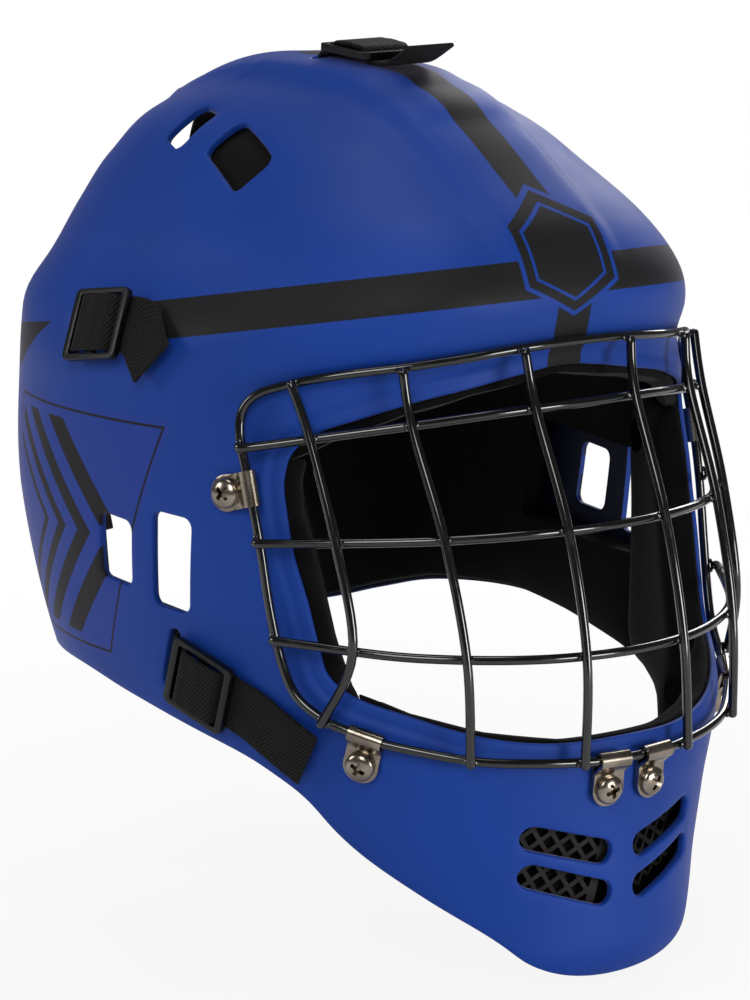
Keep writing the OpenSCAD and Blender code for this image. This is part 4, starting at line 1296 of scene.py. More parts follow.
    def sheet(self, holes: list[Outline], border: Outline | None = None) -> tuple[Points, Points, Points]:
        """Meshes the sheet under the seam, which has a border, or the one over it.

        Args:
            holes: The openings in it.
            border: Its lower edge, if it has one.

        Returns:
            Its points, the depth of the outer skin under each, and its triangles.
        """
        rows = self.rows(holes, border)
        points = np.vstack([r.points for r in rows])
        depths = np.concatenate([np.full(len(r.points), r.depth) for r in rows])
        cloud = clear_of(self.scatter(border is None), points, self.cell * 0.55)
        flat = np.vstack([*[r.flat for r in rows], self.unroll(cloud) if border else cloud[:, :2]])
        points = np.vstack([points, cloud])
        outline = rows[-1].flat
        if border:
            sides = [-270 * self.spread, 90 * self.spread]
            edge = rows[-1 - len(border.rings)].flat
            outline = np.vstack([edge, [[u, self.climb(FORM.seam)] for u in sides]])
            levels = np.arange(282, FORM.seam - 1, 2.0)
            flat = np.vstack([flat, [(u, self.climb(h)) for h in levels for u in sides]])
            points = np.vstack([points, np.repeat(FORM.ring(np.full(levels.shape, 90.0), levels), 2, axis=0)])
        depths = np.append(depths, np.zeros(len(points) - len(depths)))
        loops, count = [], 0
        for r in rows:
            ids = list(range(count, count + len(r.points)))
            loops.append(ids + ids[:1] if r.closed else ids)
            count += len(ids)
        edges = [self.unroll(o.points) if border else o.points[:, :2] for o in holes]
        placed, origin, faces = self.mesh_flat(flat, loops, edges, outline)
        fresh = origin < 0
        made = points[origin]
        made[fresh] = self.roll_up(placed[fresh]) if border else FORM.crown(*placed[fresh].T)
        return made, np.where(fresh, 0.0, depths[origin]), faces

    def scatter(self, top: bool) -> Points:
        """Points spread evenly over a sheet, closer along the two steps of the crown's ridge."""
        steps = [s * (FORM.crown_half + e) for e in (-3.4, -2.4, -1, 0.5, 2, 3.2, 4.2) for s in (-1, 1)]
        if top:
            x, y = np.meshgrid(np.arange(-40, 40, self.cell), np.arange(-80, 70, self.cell))
            cloud = FORM.crown(x.ravel() + 0.3, y.ravel() + 0.2)
            ys = np.arange(-70, 60, 2.5)
            extra = np.vstack([FORM.crown(np.full(ys.shape, s), ys) for s in steps])
            edge = FORM.ring(np.arange(0, 360, 2), np.full(180, FORM.seam))[:, :2]
            cloud, extra = (q[inside(q[:, :2], edge)] for q in (cloud, extra))
        else:
            hs = np.linspace(0, FORM.seam, 3000)
            climb = self.climb(hs)
            rows = []
            for k in range(1, int(self.climb(FORM.seam) / self.cell)):
                h = np.interp(k * self.cell, climb, hs)
                row = respace(FORM.ring(np.arange(0, 360, 0.5), np.full(720, h)), self.cell)
                row = FORM.ring(FORM.angle(row), FORM.height(row))
                rows.append(row if k % 2 else (row + np.roll(row, 1, axis=0)) / 2)
            cloud = np.vstack(rows)
            cloud = FORM.ring(FORM.angle(cloud), FORM.height(cloud))
            a = FORM.angle(cloud)
            cloud = cloud[(a > -269.2) & (a < 89.2)]
            hs = np.arange(239, FORM.seam - 1, 1.6)
            extra = np.vstack([f(np.full(hs.shape, x), hs) for x in steps for f in (FORM.front, FORM.rear)])
        return np.vstack([clear_of(cloud, extra, self.ridge_cell), extra])

    def thicken(self, p: Points, d: Points, f: Points) -> bpy.types.Object:
        """Gives the sheet its wall.

        Args:
            p: Points of the sections' surface.
            d: Depth of the outer sheet at each.
            f: Triangles.

        Returns:
            The closed shell.
        """
        n = FORM.normal(p)
        outer = p + (FORM.ridge(p) - d)[:, None] * n
        inner = p - (self.wall - 0.45 * np.minimum(d, self.edge_round))[:, None] * n
        mesh = bpy.data.meshes.new("shell_moulding")
        mesh.from_pydata((outer * MM).tolist(), [], f.tolist())
        bm = bmesh.new()
        bm.from_mesh(mesh)
        # each point keeps its place on the inner skin, and a mark that it is printed
        store = bm.verts.layers.float_vector.new("inner")
        printed = bm.verts.layers.float.new("printed")
        for v, q in zip(bm.verts, inner):
            v[store] = q * MM
            v[printed] = 1.0
        bmesh.ops.recalc_face_normals(bm, faces=bm.faces)
        bmesh.ops.remove_doubles(bm, verts=bm.verts, dist=0.00002)
        bmesh.ops.delete(bm, geom=[v for v in bm.verts if not v.link_faces], context="VERTS")
        heart = Vector((0, -0.02, 0.05))
        if sum(g.normal.dot(g.calc_center_median() - heart) > 0 for g in bm.faces) < len(bm.faces) / 2:
            bmesh.ops.reverse_faces(bm, faces=bm.faces)
        twins = {v: bm.verts.new(v[store]) for v in list(bm.verts)}
        rim = [e for e in bm.edges if len(e.link_loops) == 1]
        for face in list(bm.faces):
            bm.faces.new([twins[v] for v in reversed(face.verts)])
        for e in rim:
            loop = e.link_loops[0]
            a, b = loop.vert, loop.link_loop_next.vert
            bm.faces.new([b, a, twins[a], twins[b]])
        self.ease_crease(bm)
        bm.verts.layers.float_vector.remove(store)
        bm.to_mesh(mesh)
        bm.free()
        o = Bench.new("shell_moulding", mesh)
        Bench.shade(o, 50)
        return Bench.dress(o, self.finishes.shell, "shell_abs", "helmet", "shell")

    @staticmethod
    def ease_crease(bm: bmesh.types.BMesh) -> None:
        """Smooths the short step that the sections leave across the back of the crown."""
        crease = [v for v in bm.verts
                  if abs(v.co.x) < 42 * MM and 14 * MM < v.co.y < 62 * MM and v.co.z > 190 * MM]
        axes = dict.fromkeys(("use_axis_x", "use_axis_y", "use_axis_z"), True)
        for _ in range(14):
            bmesh.ops.smooth_vert(bm, verts=crease, factor=0.5, **axes)


@dataclass
class Cage:
    """Welded wire cage: rim, three crossbars, six uprights and a bead of weld at each side of a crossing."""

    finishes: Finishes

    def wire(self, name: str, path: Points, closed: bool = False) -> bpy.types.Object:
        """Round wire along a path, its cut ends rounded over by the coating.

        Args:
            name: The new object's name.
            path: Middle line in millimetres.
            closed: Whether the wire joins itself.

        Returns:
            The wire as a mesh.
        """
        p, radii = path, np.ones(len(path))
        if not closed:
            cuts = np.array([0.0, 0.12, 0.4, 0.85, 1.4])
            size = np.sqrt(1 - (1 - cuts / cuts[-1]) ** 2) * 0.97 + 0.03
            head = p[0] + np.outer(cuts, unit(p[1] - p[0]))
            tail = p[-1] + np.outer(cuts[::-1], unit(p[-2] - p[-1]))
            keep = [q for q in p[1:-1] if min(np.linalg.norm(q - p[0]), np.linalg.norm(q - p[-1])) > 1.7]
            p = np.vstack([head, keep, tail])
            radii = np.concatenate([size, np.ones(len(keep)), size[::-1]])
        Bench.clear()
        bpy.ops.curve.primitive_bezier_curve_add()
        o = bpy.context.active_object
        o.name = o.data.name = name
        o.data.splines.clear()
        s = o.data.splines.new("POLY")
        s.points.add(len(p) - 1)
        s.points.foreach_set("co", np.hstack([p * MM, np.ones((len(p), 1))]).ravel())
        s.points.foreach_set("radius", radii)
        s.use_cyclic_u = closed
        o.data.dimensions = "3D"
        o.data.bevel_depth = FACE.wire / 2 * MM
        o.data.bevel_resolution = 4
        o.data.use_fill_caps = not closed
        Bench.pick(o)
        bpy.ops.object.convert(target="MESH")
        bpy.ops.object.shade_smooth()
        return bpy.context.active_object

    def bead(self, spot: Points, line: Points, out: Points) -> list[bpy.types.Object]:
        """Two beads of weld at a crossing, one at each side of the upper wire.

        Args:
            spot: The crossing.
            line: Path of the wire that the beads lie along.
            out: Direction from that wire to the upper one.

        Returns:
            The beads.
        """
        i = closest(line, spot)
        along = unit(line[(i + 1) % len(line)] - line[i - 1])
        up = unit(out - (out @ along) * along)
        beads = []
        for side in (-1, 1):
            Bench.clear()
            bpy.ops.mesh.primitive_uv_sphere_add(segments=12, ring_count=8, radius=1)
            o = Bench.take("weld")
            bpy.ops.transform.resize(value=(1.0 * MM, 1.35 * MM, 0.85 * MM))
            bpy.ops.object.transform_apply(location=False, rotation=False, scale=True)
            Bench.seat(o, Place(spot + side * 1.55 * along + 0.15 * up, along, np.cross(up, along), up))
            beads.append(o)
        return beads

    def make(self) -> None:
        """Builds the cage as three pieces, each with its welds."""
        rim, bars = FACE.rim(), [FACE.bar(k) for k in range(3)]
        self.dress("cage_rim_wire", [self.wire("rim", rim, True)], "cage_rim")
        pieces = [self.wire("bar", b) for b in bars]
        for b in bars:
            for end in (1, -2):
                on_bar = b[closest(b, rim[closest(rim, b[end])])]
                on_rim = rim[closest(rim, on_bar)]
                pieces += self.bead((on_bar + on_rim) / 2, rim, on_bar - on_rim)
        self.dress("cage_crossbar_wires", pieces, "cage_crossbars")
        pieces = []
        for u in range(3):
            path, welds = FACE.upright(u)
            for hand in (1, -1):
                pieces.append(self.wire("upright", flip(path, hand)))
                for w in welds:
                    spot = flip(w, hand)
                    line = min([rim, *bars], key=lambda q: np.linalg.norm(q - spot, axis=1).min())
                    pieces += self.bead(spot, line, flip(path[closest(path, w)], hand) - spot)
        self.dress("cage_upright_wires", pieces, "cage_uprights")

    def dress(self, name: str, pieces: Sequence[bpy.types.Object], node: str) -> None:
        """Joins the wires of one piece of the cage and gives them their coat."""
        Bench.dress(Bench.join(name, pieces), self.finishes.wire, "cage_wire", "helmet", node)


@dataclass
class Clips:
    """Sheet clips folded round the rim wire, and the pan head screws through them."""

    finishes: Finishes
    width: float = 12.0
    sheet: float = 1.0
    screw: float = 5.0
    head: float = 10.0

    def clip(self, name: str, place: Place, y: float, z: float) -> None:
        """One clip: lower leaf, loop round the wire, upper leaf.

        Args:
            name: The name of the clip's node.
            place: The screw's place on the shell.
            y: Distance of the wire across the clip.
            z: Distance of the wire from the shell.
        """
        way, reach = (1 if y > 0 else -1), abs(y)
        r, t, half = FACE.wire / 2 + 0.3 + self.sheet / 2, self.sheet, self.width / 2
        low, high = 0.1 + t / 2, 0.15 + 1.5 * t
        turns = np.radians(np.arange(-90, 141, 10))
        loop = np.stack([reach + r * np.cos(turns), z + r * np.sin(turns)], axis=1)
        ends = np.radians([84, 70, 55, 40, 25, 12, 0])
        narrow = half * 0.93
        leaf_low = [(-narrow * math.sin(a), low) for a in ends] + [(2.0, low), (reach - 4.2, low)]
        leaf_high = [(reach - 4.6, high + 0.25), (reach - 5.4, high), (2.0, high)]
        leaf_high += [(-half * math.sin(a), high) for a in ends[::-1]]
        middle = np.vstack([leaf_low, [[reach - 2.2, (low + z - r) / 2]], loop, leaf_high])
        wide = np.full(len(middle), half)
        wide[:len(ends)] = narrow * np.cos(ends) + 0.2
        wide[-len(ends):] = half * np.cos(ends[::-1]) + 0.2
        columns = 9
        o = Bench.grid(name.replace("clip", "clip_fold"), len(middle), columns)
        points = np.stack([np.outer(wide, np.linspace(-1, 1, columns)),
                           np.repeat(middle[:, :1] * way, columns, axis=1),
                           np.repeat(middle[:, 1:], columns, axis=1)], axis=-1)
        Bench.shape(o, points.reshape(-1, 3))
        Bench.modify(o, "SOLIDIFY", thickness=t * MM, offset=0.0, use_even_offset=True)
        Bench.cut(o, Bench.rod("hole", self.screw / 2 + 0.2, 12))
        Bench.round_edges(o, 0.16, 2)
        Bench.tidy(o, 40)
        Bench.seat(o, place)
        Bench.dress(o, self.finishes.nickel, "nickel_steel", "helmet", name)

    def screw_at(self, place: Place, turn: float) -> bpy.types.Object:
        """A pan head screw: domed head with a cross recess, on a plain shank."""
        seat, long = 2 * self.sheet + 0.25, 2 * self.sheet + 3 + 3.5 + 1
        o = Bench.rod("screw", self.head / 2, 0.9, seat + 0.45, 48)
        bpy.ops.object.mode_set(mode="EDIT")
        bpy.ops.mesh.select_all(action="DESELECT")
        bpy.ops.object.mode_set(mode="OBJECT")
        max(o.data.polygons, key=lambda f: f.center.z).select = True
        bpy.ops.object.mode_set(mode="EDIT")
        for rise, size in ((0.45, 0.975), (0.45, 0.93), (0.45, 0.86), (0.4, 0.77), (0.3, 0.66), (0.15, 0.5)):
            bpy.ops.mesh.extrude_region_move(TRANSFORM_OT_translate={"value": (0, 0, rise * MM)})
            bpy.ops.transform.resize(value=(size, size, 1))
        bpy.ops.object.mode_set(mode="OBJECT")
        Bench.cut(o, self.recess(45, seat + 2.3), self.recess(135, seat + 2.3))
        shank = Bench.rod("shank", self.screw / 2 - 0.03, long, seat - long / 2)
        Bench.round_edges(o, 0.14, 2, 38)
        Bench.tidy(o, 32)
        Bench.tidy(shank, 32)
        o = Bench.join("screw", [o, shank])
        o.data.transform(Matrix.Rotation(math.radians(turn), 4, "Z"))
        Bench.seat(o, place)
        return o

    @staticmethod
    def recess(turn: float, middle: float) -> bpy.types.Object:
        """Cutter for one groove of the cross recess, narrower at its bottom."""
        o = Bench.box("recess", (6.6, 1.6, 3.2), (0, 0, middle))
        for v in o.data.vertices:
            if v.co.z < middle * MM:
                v.co.x *= 3.2 / 6.6
                v.co.y *= 1.1 / 1.6
        o.data.transform(Matrix.Rotation(math.radians(turn), 4, "Z"))
        return o

    def make(self) -> None:
        """Builds six clips and their screws."""
        screws = []
        for k, (word, i) in enumerate(CLIPS):
            for hand in Hand:
                place, y, z = FACE.clip_place(i, hand.value)
                self.clip(f"clip_{word}_{hand.word}", place, y, z)
                screws.append(self.screw_at(place, 10 + 37 * k + 20 * hand.value))
        o = Bench.join("pan_head_screws", screws)
        Bench.dress(o, self.finishes.nickel, "nickel_steel", "helmet", "clip_screws")


@dataclass
class Webbing:
    """Woven webbing as ribbons with rounded edges: the outer ends and the inner runs."""

    finishes: Finishes
    width: float = 20.0
    thick: float = 1.5

    def ribbon(self, name: str, points: Points, normals: Points, grow: float = 0.0,
               steps: int = 6) -> bpy.types.Object:
        """Ribbon along a path.

        Args:
            name: The new object's name.
            points: Middle line in millimetres.
            normals: Direction out of the ribbon's face at each point.
            grow: Extra room on every side, for a ribbon that cuts a channel.
            steps: Parts of each stretch of the path.

        Returns:
            The ribbon, with a UV map in millimetres across and along it.
        """
        path, up = spline(points, steps), spline(normals, steps)
        t = unit(np.gradient(path, axis=0))
        up = unit(up - (up * t).sum(axis=1)[:, None] * t)
        side = np.cross(up, t)
        ring = self.ring(self.width / 2 + grow, self.thick / 2 + grow)
        o = Bench.grid(name, len(path), len(ring))
        skin = path[:, None] + ring[:, :1] * side[:, None] + ring[:, 1:] * up[:, None]
        Bench.shape(o, skin.reshape(-1, 3))
        flat = np.stack(np.meshgrid(*(lengths(line) for line in (ring, path))), axis=-1).reshape(-1, 2)
        uv = o.data.uv_layers.new(name="weave")
        number = np.empty(len(o.data.loops), int)
        o.data.loops.foreach_get("vertex_index", number)
        uv.data.foreach_set("uv", flat[number].ravel())
        Bench.seal(o, bpy.ops.mesh.edge_face_add)
        Bench.tidy(o, 60)
        return o

    @staticmethod
    def ring(half: float, deep: float) -> Points:
        """Closed section of a ribbon: an oblong with rounded corners, its long sides in six parts."""
        r = min(0.62, deep - 0.02)
        corners = ((1, -1, -90), (1, 1, 0), (-1, 1, 90), (-1, -1, 180))
        ring = []
        for sx, sy, start in corners:
            for a in np.radians(start + np.array([0, 30, 60, 90])):
                ring.append((sx * (half - r) + r * math.cos(a), sy * (deep - r) + r * math.sin(a)))
        ring = np.array(ring + ring[:1])
        out = []
        for a, b in zip(ring, ring[1:]):
            n = 6 if np.linalg.norm(b - a) > 5 else 1
            out += [a + (b - a) * k / n for k in range(n)]
        return np.vstack([out, ring[:1]])

    def free_part(self, strap: Strap, path: Points) -> tuple[Points, Points]:
        """Where an inner run leaves the shell and where it reaches the back plate.

        Args:
            strap: The strap.
            path: Close points along its inner run, from the slot on.

        Returns:
            The two points.
        """
        lining = Lining(self.finishes, self)
        h, x = FORM.height(path), np.abs(path[:, 0])
        if strap.hand:
            off, on = x < 51.8, x < lining.plate_reach(h) + 0.8
        else:
            off, on = h < lining.plate_top + 9, h < lining.plate_top + 1
        return path[int(np.argmax(off))], path[int(np.argmax(on))]

    def make(self) -> None:
        """Builds the outer ends on the helmet and the inner runs that end at the back plate."""
        for strap in STRAPS:
            o = self.ribbon(f"webbing_{strap.name}", *strap.path())
            Bench.dress(o, self.finishes.webbing, "webbing", "helmet", f"strap_{strap.name}")
            points, normals = strap.run()
            o = self.ribbon(f"inner_webbing_{strap.name}", points, normals)
            Bench.dress(o, self.finishes.webbing, "webbing", "", f"run_{strap.name}")
            start, end = (tuple(p * MM) for p in self.free_part(strap, spline(points, 12)))
            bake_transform(o)


@dataclass
class Buckles:
    """Flat three-bar buckles that hold the outer ends of the webbing."""

    finishes: Finishes
    long: float = 27.0
    wide: float = 25.2
    thick: float = 2.6
    bar: float = 2.8
    room: float = 21.2

    def block(self, x: float, length: float, width: float, height: float, corner: float) -> bpy.types.Object:
        """A block with rounded upright corners, its middle at x."""
        o = Bench.box("block", (length, width, height), (x, 0, 0))
        bm = bmesh.new()
        bm.from_mesh(o.data)
        upright = [e for e in bm.edges if abs(e.verts[0].co.z - e.verts[1].co.z) > height * MM / 2]
        bmesh.ops.bevel(bm, geom=upright, offset=corner * MM, segments=5, profile=0.5, affect="EDGES")
        bm.to_mesh(o.data)
        bm.free()
        return o

    def make(self) -> None:
        """Builds the five buckles, each seated on its strap."""
        window = (self.long - 3 * self.bar) / 2
        for strap in STRAPS:
            o = self.block(0, self.long, self.wide, self.thick, 2.4)
            aside = (window + self.bar) / 2
            Bench.cut(o, *(self.block(x, window, self.room, 8, 1.0) for x in (-aside, aside)))
            Bench.round_edges(o, 0.55)
            Bench.tidy(o)
            place = strap.place(strap.buckle_at)
            Bench.seat(o, replace(place, spot=place.at(0, 0, strap.base + self.thick / 2)))
            o.name = o.data.name = f"triglide_{strap.name}"
            Bench.dress(o, self.finishes.acetal, "acetal", "helmet", f"buckle_{strap.name}")


@dataclass
class Lining:
    """Foam pads cut to the inside of the shell, and the padded plate behind the head."""

    finishes: Finishes
    webbing: Webbing
    foam: float = 10.0
    gap: float = 0.5
    plate: float = 2.5
    plate_foam: float = 9.0
    plate_half: float = 24.0
    plate_top: float = 238.0
    plate_bottom: float = 124.0

    @property
    def depth(self) -> float:
        """Depth of the pads' outer face under the outer surface."""
        return FORM.wall + self.gap

    @property
    def plate_depth(self) -> float:
        """Depth of the plate's outer face."""
        return STRAPS[0].inner_depth + self.webbing.thick / 2 + 2.2

    def slab(self, name: str, spots: Callable, thick: float, depth: float, hand: int = 1, rows: int = 36,
             columns: int = 60, crowned: bool = True, edge: float = 1.3) -> bpy.types.Object:
        """A pad or plate between two depths under the shell's outer surface.

        Args:
            name: The new object's name.
            spots: Gives the angle and height, and any added depth, for a place u up and v along the pad.
            thick: Thickness in its middle.
            depth: Depth of its outer face.
            hand: Side that it is mirrored to.
            rows: Points up the pad.
            columns: Points along it.
            crowned: Whether it thins to its edges.
            edge: Rounding of its edges.

        Returns:
            The closed slab.
        """
        u, v = np.meshgrid(np.linspace(0, 1, rows), np.linspace(0, 1, columns), indexing="ij")
        a, h, *sunk = spots(u, v)
        deep = depth + (sunk[0] if sunk else 0 * u)
        inner = deep + thick
        if crowned:
            inner = deep + thick * (1 - 0.55 * np.abs(2 * u - 1) ** 8) * (1 - 0.55 * np.abs(2 * v - 1) ** 8)
        skin = FORM.ring(a, h)
        n = FORM.normal(skin)
        sheets = []
        for face, level in ((name, inner), (name + "_back", deep)):
            sheets.append(Bench.grid(face, rows, columns))
            Bench.shape(sheets[-1], flip(skin - level[..., None] * n, hand).reshape(-1, 3))
        o = Bench.join(name, sheets)
        Bench.seal(o, bpy.ops.mesh.bridge_edge_loops)
        Bench.round_edges(o, edge, angle=45)
        return o

    def plate_spots(self, t: Points, shrink: float = 0.0) -> tuple[Points, Points]:
        """Half angle and height of the plate's edge at a place from its bottom, -1, to its top, 1."""
        middle, half = (self.plate_top + self.plate_bottom) / 2, (self.plate_top - self.plate_bottom) / 2
        turn = (self.plate_half - shrink) * (0.25 + 0.75 * (1 - np.abs(t) ** 4) ** 0.25)
        return turn, middle + t * (half - 1.6 * shrink)

    def plate_reach(self, h: Points) -> Points:
        """Half width of the plate at heights."""
        bottom, top = self.plate_bottom, self.plate_top
        turn, _ = self.plate_spots(np.clip((2 * h - top - bottom) / (top - bottom), -0.985, 0.985))
        p = FORM.ring(90 - turn, h)
        return np.abs((p - self.plate_depth * FORM.normal(p))[..., 0])

    @staticmethod
    def pockets() -> list[bpy.types.Object]:
        """Cutters for the room round the nuts."""
        out = []
        for _, i in CLIPS:
            for hand in (-1, 1):
                out.append(Bench.rod("pocket", 7, 40))
                Bench.seat(out[-1], FACE.clip_place(i, hand)[0])
        return out

    @staticmethod
    def rear_windows() -> list[bpy.types.Object]:
        """Cutters that free the rear crown windows."""
        out = []
        for hand in Hand:
            out.append(Bench.box("rear_window", (44, 60, 60), (hand.value * 56, 25, 180)))
            Bench.modify(out[-1], "BEVEL", width=4 * MM, segments=4)
        return out

    def side_cuts(self, hand: int) -> list[bpy.types.Object]:
        """Cutters for the ear opening of a side pad and for the webbing behind it."""
        ear = Bench.box("window", (80, 64, 38), (hand * 100, -29, 140 - FORM.opening_height), 4)
        Bench.modify(ear, "BEVEL", width=3 * MM, segments=4)
        cuts = [ear]
        for strap in STRAPS:
            if strap.hand == hand:
                p, n = strap.run()
                p = np.vstack([1.6 * p[:1] - 0.6 * p[1:2], p, 1.6 * p[-1:] - 0.6 * p[-2:-1]])
                grow = 1.2 if strap.lower else 0.7
                cuts.append(self.webbing.ribbon("channel", p, np.vstack([n[:1], n, n[-1:]]), grow, 3))
        return cuts

    def finish(self, o: bpy.types.Object, node: str, cutters: Sequence = ()) -> None:
        """Cuts, smooths and dresses a pad."""
        Bench.cut(o, *cutters)
        Bench.tidy(o, 40)
        body = "rear_plate" if node == "back_pad" else "helmet"
        Bench.dress(o, self.finishes.foam, "foam", body, node)

    def forehead(self, u: Points, v: Points) -> tuple[Points, Points]:
        """Spots of the forehead pad, from the face opening up to the crown pad."""
        a = -90 + 58 * (2 * v - 1)
        x = np.abs(FORM.ring(a, np.full(a.shape, 200.0))[..., 0])
        low = FACE.top - 2 - np.interp(x, [0, 35, 57, 76, 90], [0, 4, 9, 17, 27])
        return a, low + (FORM.brow_height + 12 - low) * u

    def crown(self, u: Points, v: Points) -> tuple[Points, Points]:
        """Spots of the crown pad."""
        low = FORM.brow_height + 15
        return -174 + 168 * v, low + (FORM.shell_height - 2.5 - low) * (1 - (1 - u) ** 1.3)

    @staticmethod
    def jaw(y: Points) -> Points:
        """Height of the shell's lower edge, in straight stretches."""
        return np.interp(y, *np.array(ShellMoulding.jaw).T)

    @staticmethod
    def angle_at(x: float, h: Points) -> Points:
        """Angle at which the front of the shell is x from the middle."""
        _, _, w, _, n = FORM.section(h)
        return -np.degrees(np.arccos(np.minimum(x / w, 1) ** (n / 2)))

    @staticmethod
    def angle_of(y: float, h: Points) -> Points:
        """Angle at which the side of the shell is at a place front to back."""
        f, r, _, m, n = FORM.section(h)
        reach = np.where(y < m, m - f, r - m)
        return np.degrees(np.sign(y - m) * np.arcsin(np.minimum(np.abs(y - m) / reach, 1) ** (n / 2)))

    def cheek(self, u: Points, v: Points) -> tuple[Points, Points]:
        """Spots of a cheek pad, from the face opening to the side pad."""
        low = self.jaw(-116 + 53 * v) + 2.5
        h = low + (179.5 - low) * u
        x = FACE.half - 2 - np.interp(h, [104, 120, 162, 172, 180], [6.5, 4, 0, 0.8, 3.2])
        a, b = np.where(h < 104, -41.0, self.angle_at(x, h)), self.angle_of(-63.0, h)
        return a + (b - a) * v, h

    def side(self, u: Points, v: Points) -> tuple[Points, Points]:
        """Spots of a side pad, from the cheek pad to the plate."""
        level = np.full(v.shape, 90.0)
        a, b = self.angle_of(-61.0, level), -self.angle_at(55.0, level)
        low = self.jaw(FORM.ring(a + (b - a) * v, level)[..., 1]) + 1.2
        h = low + (FORM.brow_height - 28 - low) * u
        a, b = self.angle_of(-61.0, h), -self.angle_at(55.0, h)
        return a + (b - a) * v, h

    @staticmethod
    def chin(u: Points, v: Points) -> tuple[Points, Points]:
        """Spots of the chin pad's upper part, under the face opening."""
        a = -90 + 48 * (2 * v - 1)
        x = np.abs(FORM.ring(a, np.full(a.shape, 88.0))[..., 0])
        high = FACE.bottom + 0.4 + np.interp(x, [24, 50, 68, 84], [0, 4, 10, 20])
        return a, 67 + (np.minimum(high, 103) - 67) * u

    def chin_low(self, u: Points, v: Points) -> tuple[Points, Points, Points]:
        """Spots of its lower part, which lies deeper behind the chin vents."""
        a = -90 + 44 * (2 * v - 1)
        p = FORM.ring(a, np.full(a.shape, 45.0))
        low = np.maximum(22, self.jaw(p[..., 1]) + 4)
        return a, low + (66.5 - low) * u, 5 * (1 - soft((np.abs(p[..., 0]) - 38) / 10))

    def back(self, u: Points, v: Points, shrink: float = 0.0) -> tuple[Points, Points]:
        """Spots of the plate behind the head, or of its pad where they shrink."""
        turn, h = self.plate_spots((2 * u - 1) * 0.985, shrink)
        return 90 + turn * (2 * v - 1), h

    def make(self) -> None:
        """Builds every pad and the back plate."""
        self.finish(self.slab("forehead_foam", self.forehead, self.foam, self.depth + 0.25), "forehead_pad")
        o = self.slab("crown_foam", self.crown, self.foam, self.depth + 0.3)
        self.finish(o, "crown_pad", self.rear_windows())
        for hand in Hand:
            thick = self.foam + 2
            o = self.slab(f"cheek_foam_{hand.word}", self.cheek, thick, self.depth, hand.value, 40, 24)
            self.finish(o, f"cheek_pad_{hand.word}", self.pockets())
            o = self.slab(f"side_foam_{hand.word}", self.side, self.foam, self.depth, hand.value)
            self.finish(o, f"side_pad_{hand.word}", self.side_cuts(hand.value))
        o = self.slab("chin_foam", self.chin, self.foam - 2, self.depth + 0.35, rows=16)
        Bench.cut(o, *self.pockets())
        low = self.slab("chin_foam_low", self.chin_low, 6, 4, rows=20)
        self.finish(Bench.join("chin_foam", [o, low]), "chin_pad")
        o = self.slab("back_plate_moulding", self.back, self.plate, self.plate_depth, crowned=False, edge=0.7)
        Bench.tidy(o, 40)
        Bench.dress(o, self.finishes.plate, "plate_plastic", "rear_plate", "back_plate")
        depth = self.plate_depth + self.plate + self.gap
        o = self.slab("back_foam", partial(self.back, shrink=2), self.plate_foam, depth)
        self.finish(o, "back_pad")


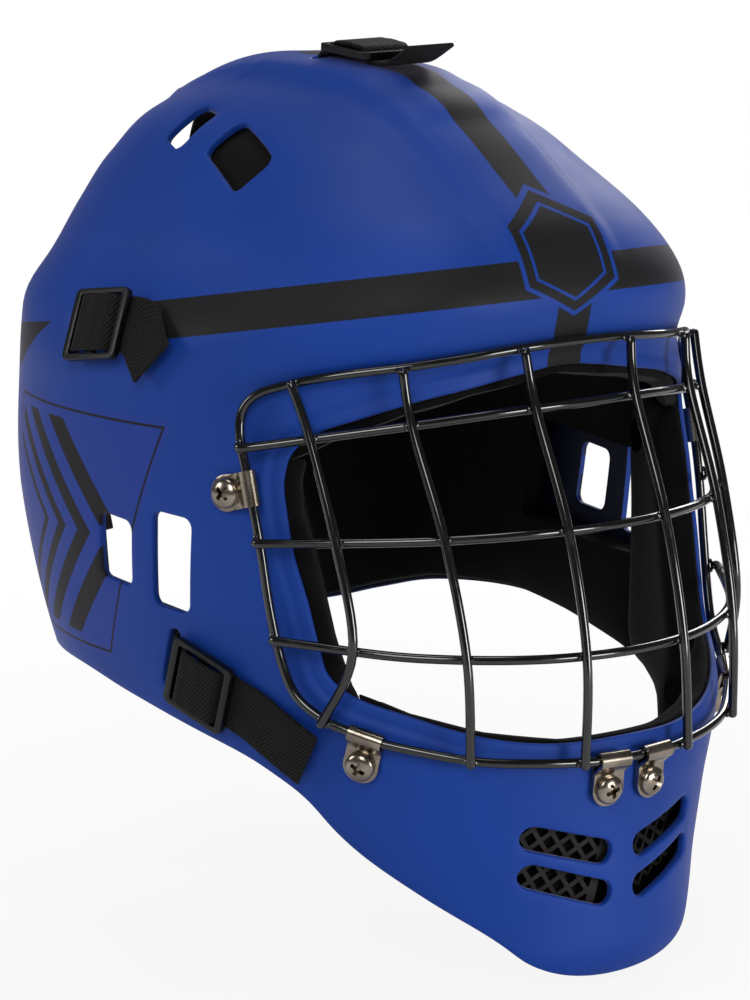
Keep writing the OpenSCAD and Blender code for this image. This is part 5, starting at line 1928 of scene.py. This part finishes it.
@dataclass(frozen=True)
class Studio:
    """Pale floor, soft lamps and the camera, in metres, none of them part of the helmet."""

    azimuth: float = -38.0
    elevation: float = 11.084
    lens: float = 165.383
    level: float = -0.0905

    def camera(self) -> None:
        """Puts the camera where the photograph was taken from."""
        data = bpy.data.cameras.new("camera")
        data.lens, data.sensor_fit, data.sensor_height, data.sensor_width = self.lens, "VERTICAL", 36.0, 27.0
        data.clip_start, data.clip_end = 0.05, 20.0
        o = Bench.new("camera", data)
        o.location = (-0.9793, -1.2801, 0.3667)
        a, e = math.radians(self.azimuth), math.radians(self.elevation)
        look = Vector((-math.sin(a) * math.cos(e), math.cos(a) * math.cos(e), -math.sin(e)))
        o.rotation_euler = look.to_track_quat("-Z", "Y").to_euler()
        bpy.context.scene.camera = o

    def lamp(self, name: str, place: tuple, size: float, power: float) -> None:
        """A soft square lamp that looks at the helmet."""
        data = bpy.data.lights.new(name, "AREA")
        data.shape, data.size, data.energy = "SQUARE", size, power
        o = Bench.new(name, data)
        o.location = place
        o.rotation_euler = (Vector((0, -0.02, 0.06)) - Vector(place)).to_track_quat("-Z", "Y").to_euler()

    def floor(self) -> None:
        """A wide pale floor that keeps a soft shadow."""
        Bench.clear()
        bpy.ops.mesh.primitive_plane_add(size=14, location=(0, 0, self.level))
        o = Bench.take("floor")
        r = Recipe("matt white floor")
        seen = r.take("ShaderNodeLightPath", "Is Camera Ray")
        far = r.take("ShaderNodeVectorMath", "Value", {0: r.place()}, operation="LENGTH")
        r.set(Base_Color=linear("#f2f2f2"), Roughness=0.9)
        glow = r.take("ShaderNodeEmission", 0, {"Color": (1, 1, 1, 1), "Strength": 1.0})
        matt = Signal(r, r.shader.outputs[0])
        mix = r.take("ShaderNodeMixShader", 0, {0: seen * far.ramp(0.18, 0.6, 0.88, 1.0), 1: matt, 2: glow})
        r.feed(r.nodes["Material Output"].inputs["Surface"], mix)
        o.data.materials.append(r.made)

    def world(self) -> None:
        """White surroundings for the eye and for rays that pass through, and a plainer light from all round.
        """
        r = Recipe("studio", world=True)
        bpy.context.scene.world = r.made
        eye = r.take("ShaderNodeLightPath", "Is Camera Ray")
        seen = eye | r.take("ShaderNodeLightPath", "Is Transmission Ray")
        level = r.take("ShaderNodeMapRange", 0, {"Value": seen, "To Min": 0.09, "To Max": 1.0})
        r.set(Color=(1, 1, 1, 1), Strength=level)

    def light(self) -> None:
        """Lamps: a big soft key from the upper left, a fill, one from behind each side and one above."""
        for name, place, size, power in (
                ("key", (-1.5, -1.3, 1.3), 1.0, 17),
                ("fill", (0.5, -2.0, 0.1), 0.8, 24),
                ("rear left", (-1.7, 1.0, 0.9), 0.8, 10),
                ("rear right", (1.6, 0.9, 1.1), 0.8, 16),
                ("above", (0.1, 0.1, 1.9), 0.9, 9)):
            self.lamp(name, place, size, power)

    def make(self) -> None:
        """Sets the whole studio up."""
        self.camera()
        self.world()
        self.light()
        self.floor()
        bpy.context.scene.view_settings.view_transform = "Standard"


def main() -> None:
    """Builds the helmet and its studio in order."""
    logging.basicConfig(level=logging.INFO, format="%(message)s")
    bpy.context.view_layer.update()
    finishes = Finishes.make()
    Studio().make()
    Cage(finishes).make()
    Clips(finishes).make()
    webbing = Webbing(finishes)
    webbing.make()
    Buckles(finishes).make()
    Lining(finishes, webbing).make()
    ShellMoulding(finishes).make()
    for name, material in (("clip_nuts", finishes.nickel), ("chin_mesh_right", finishes.lattice),
                           ("chin_mesh_left", finishes.lattice)):
        Bench.coat(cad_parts[name], material)


if __name__ == "__main__":
    main()
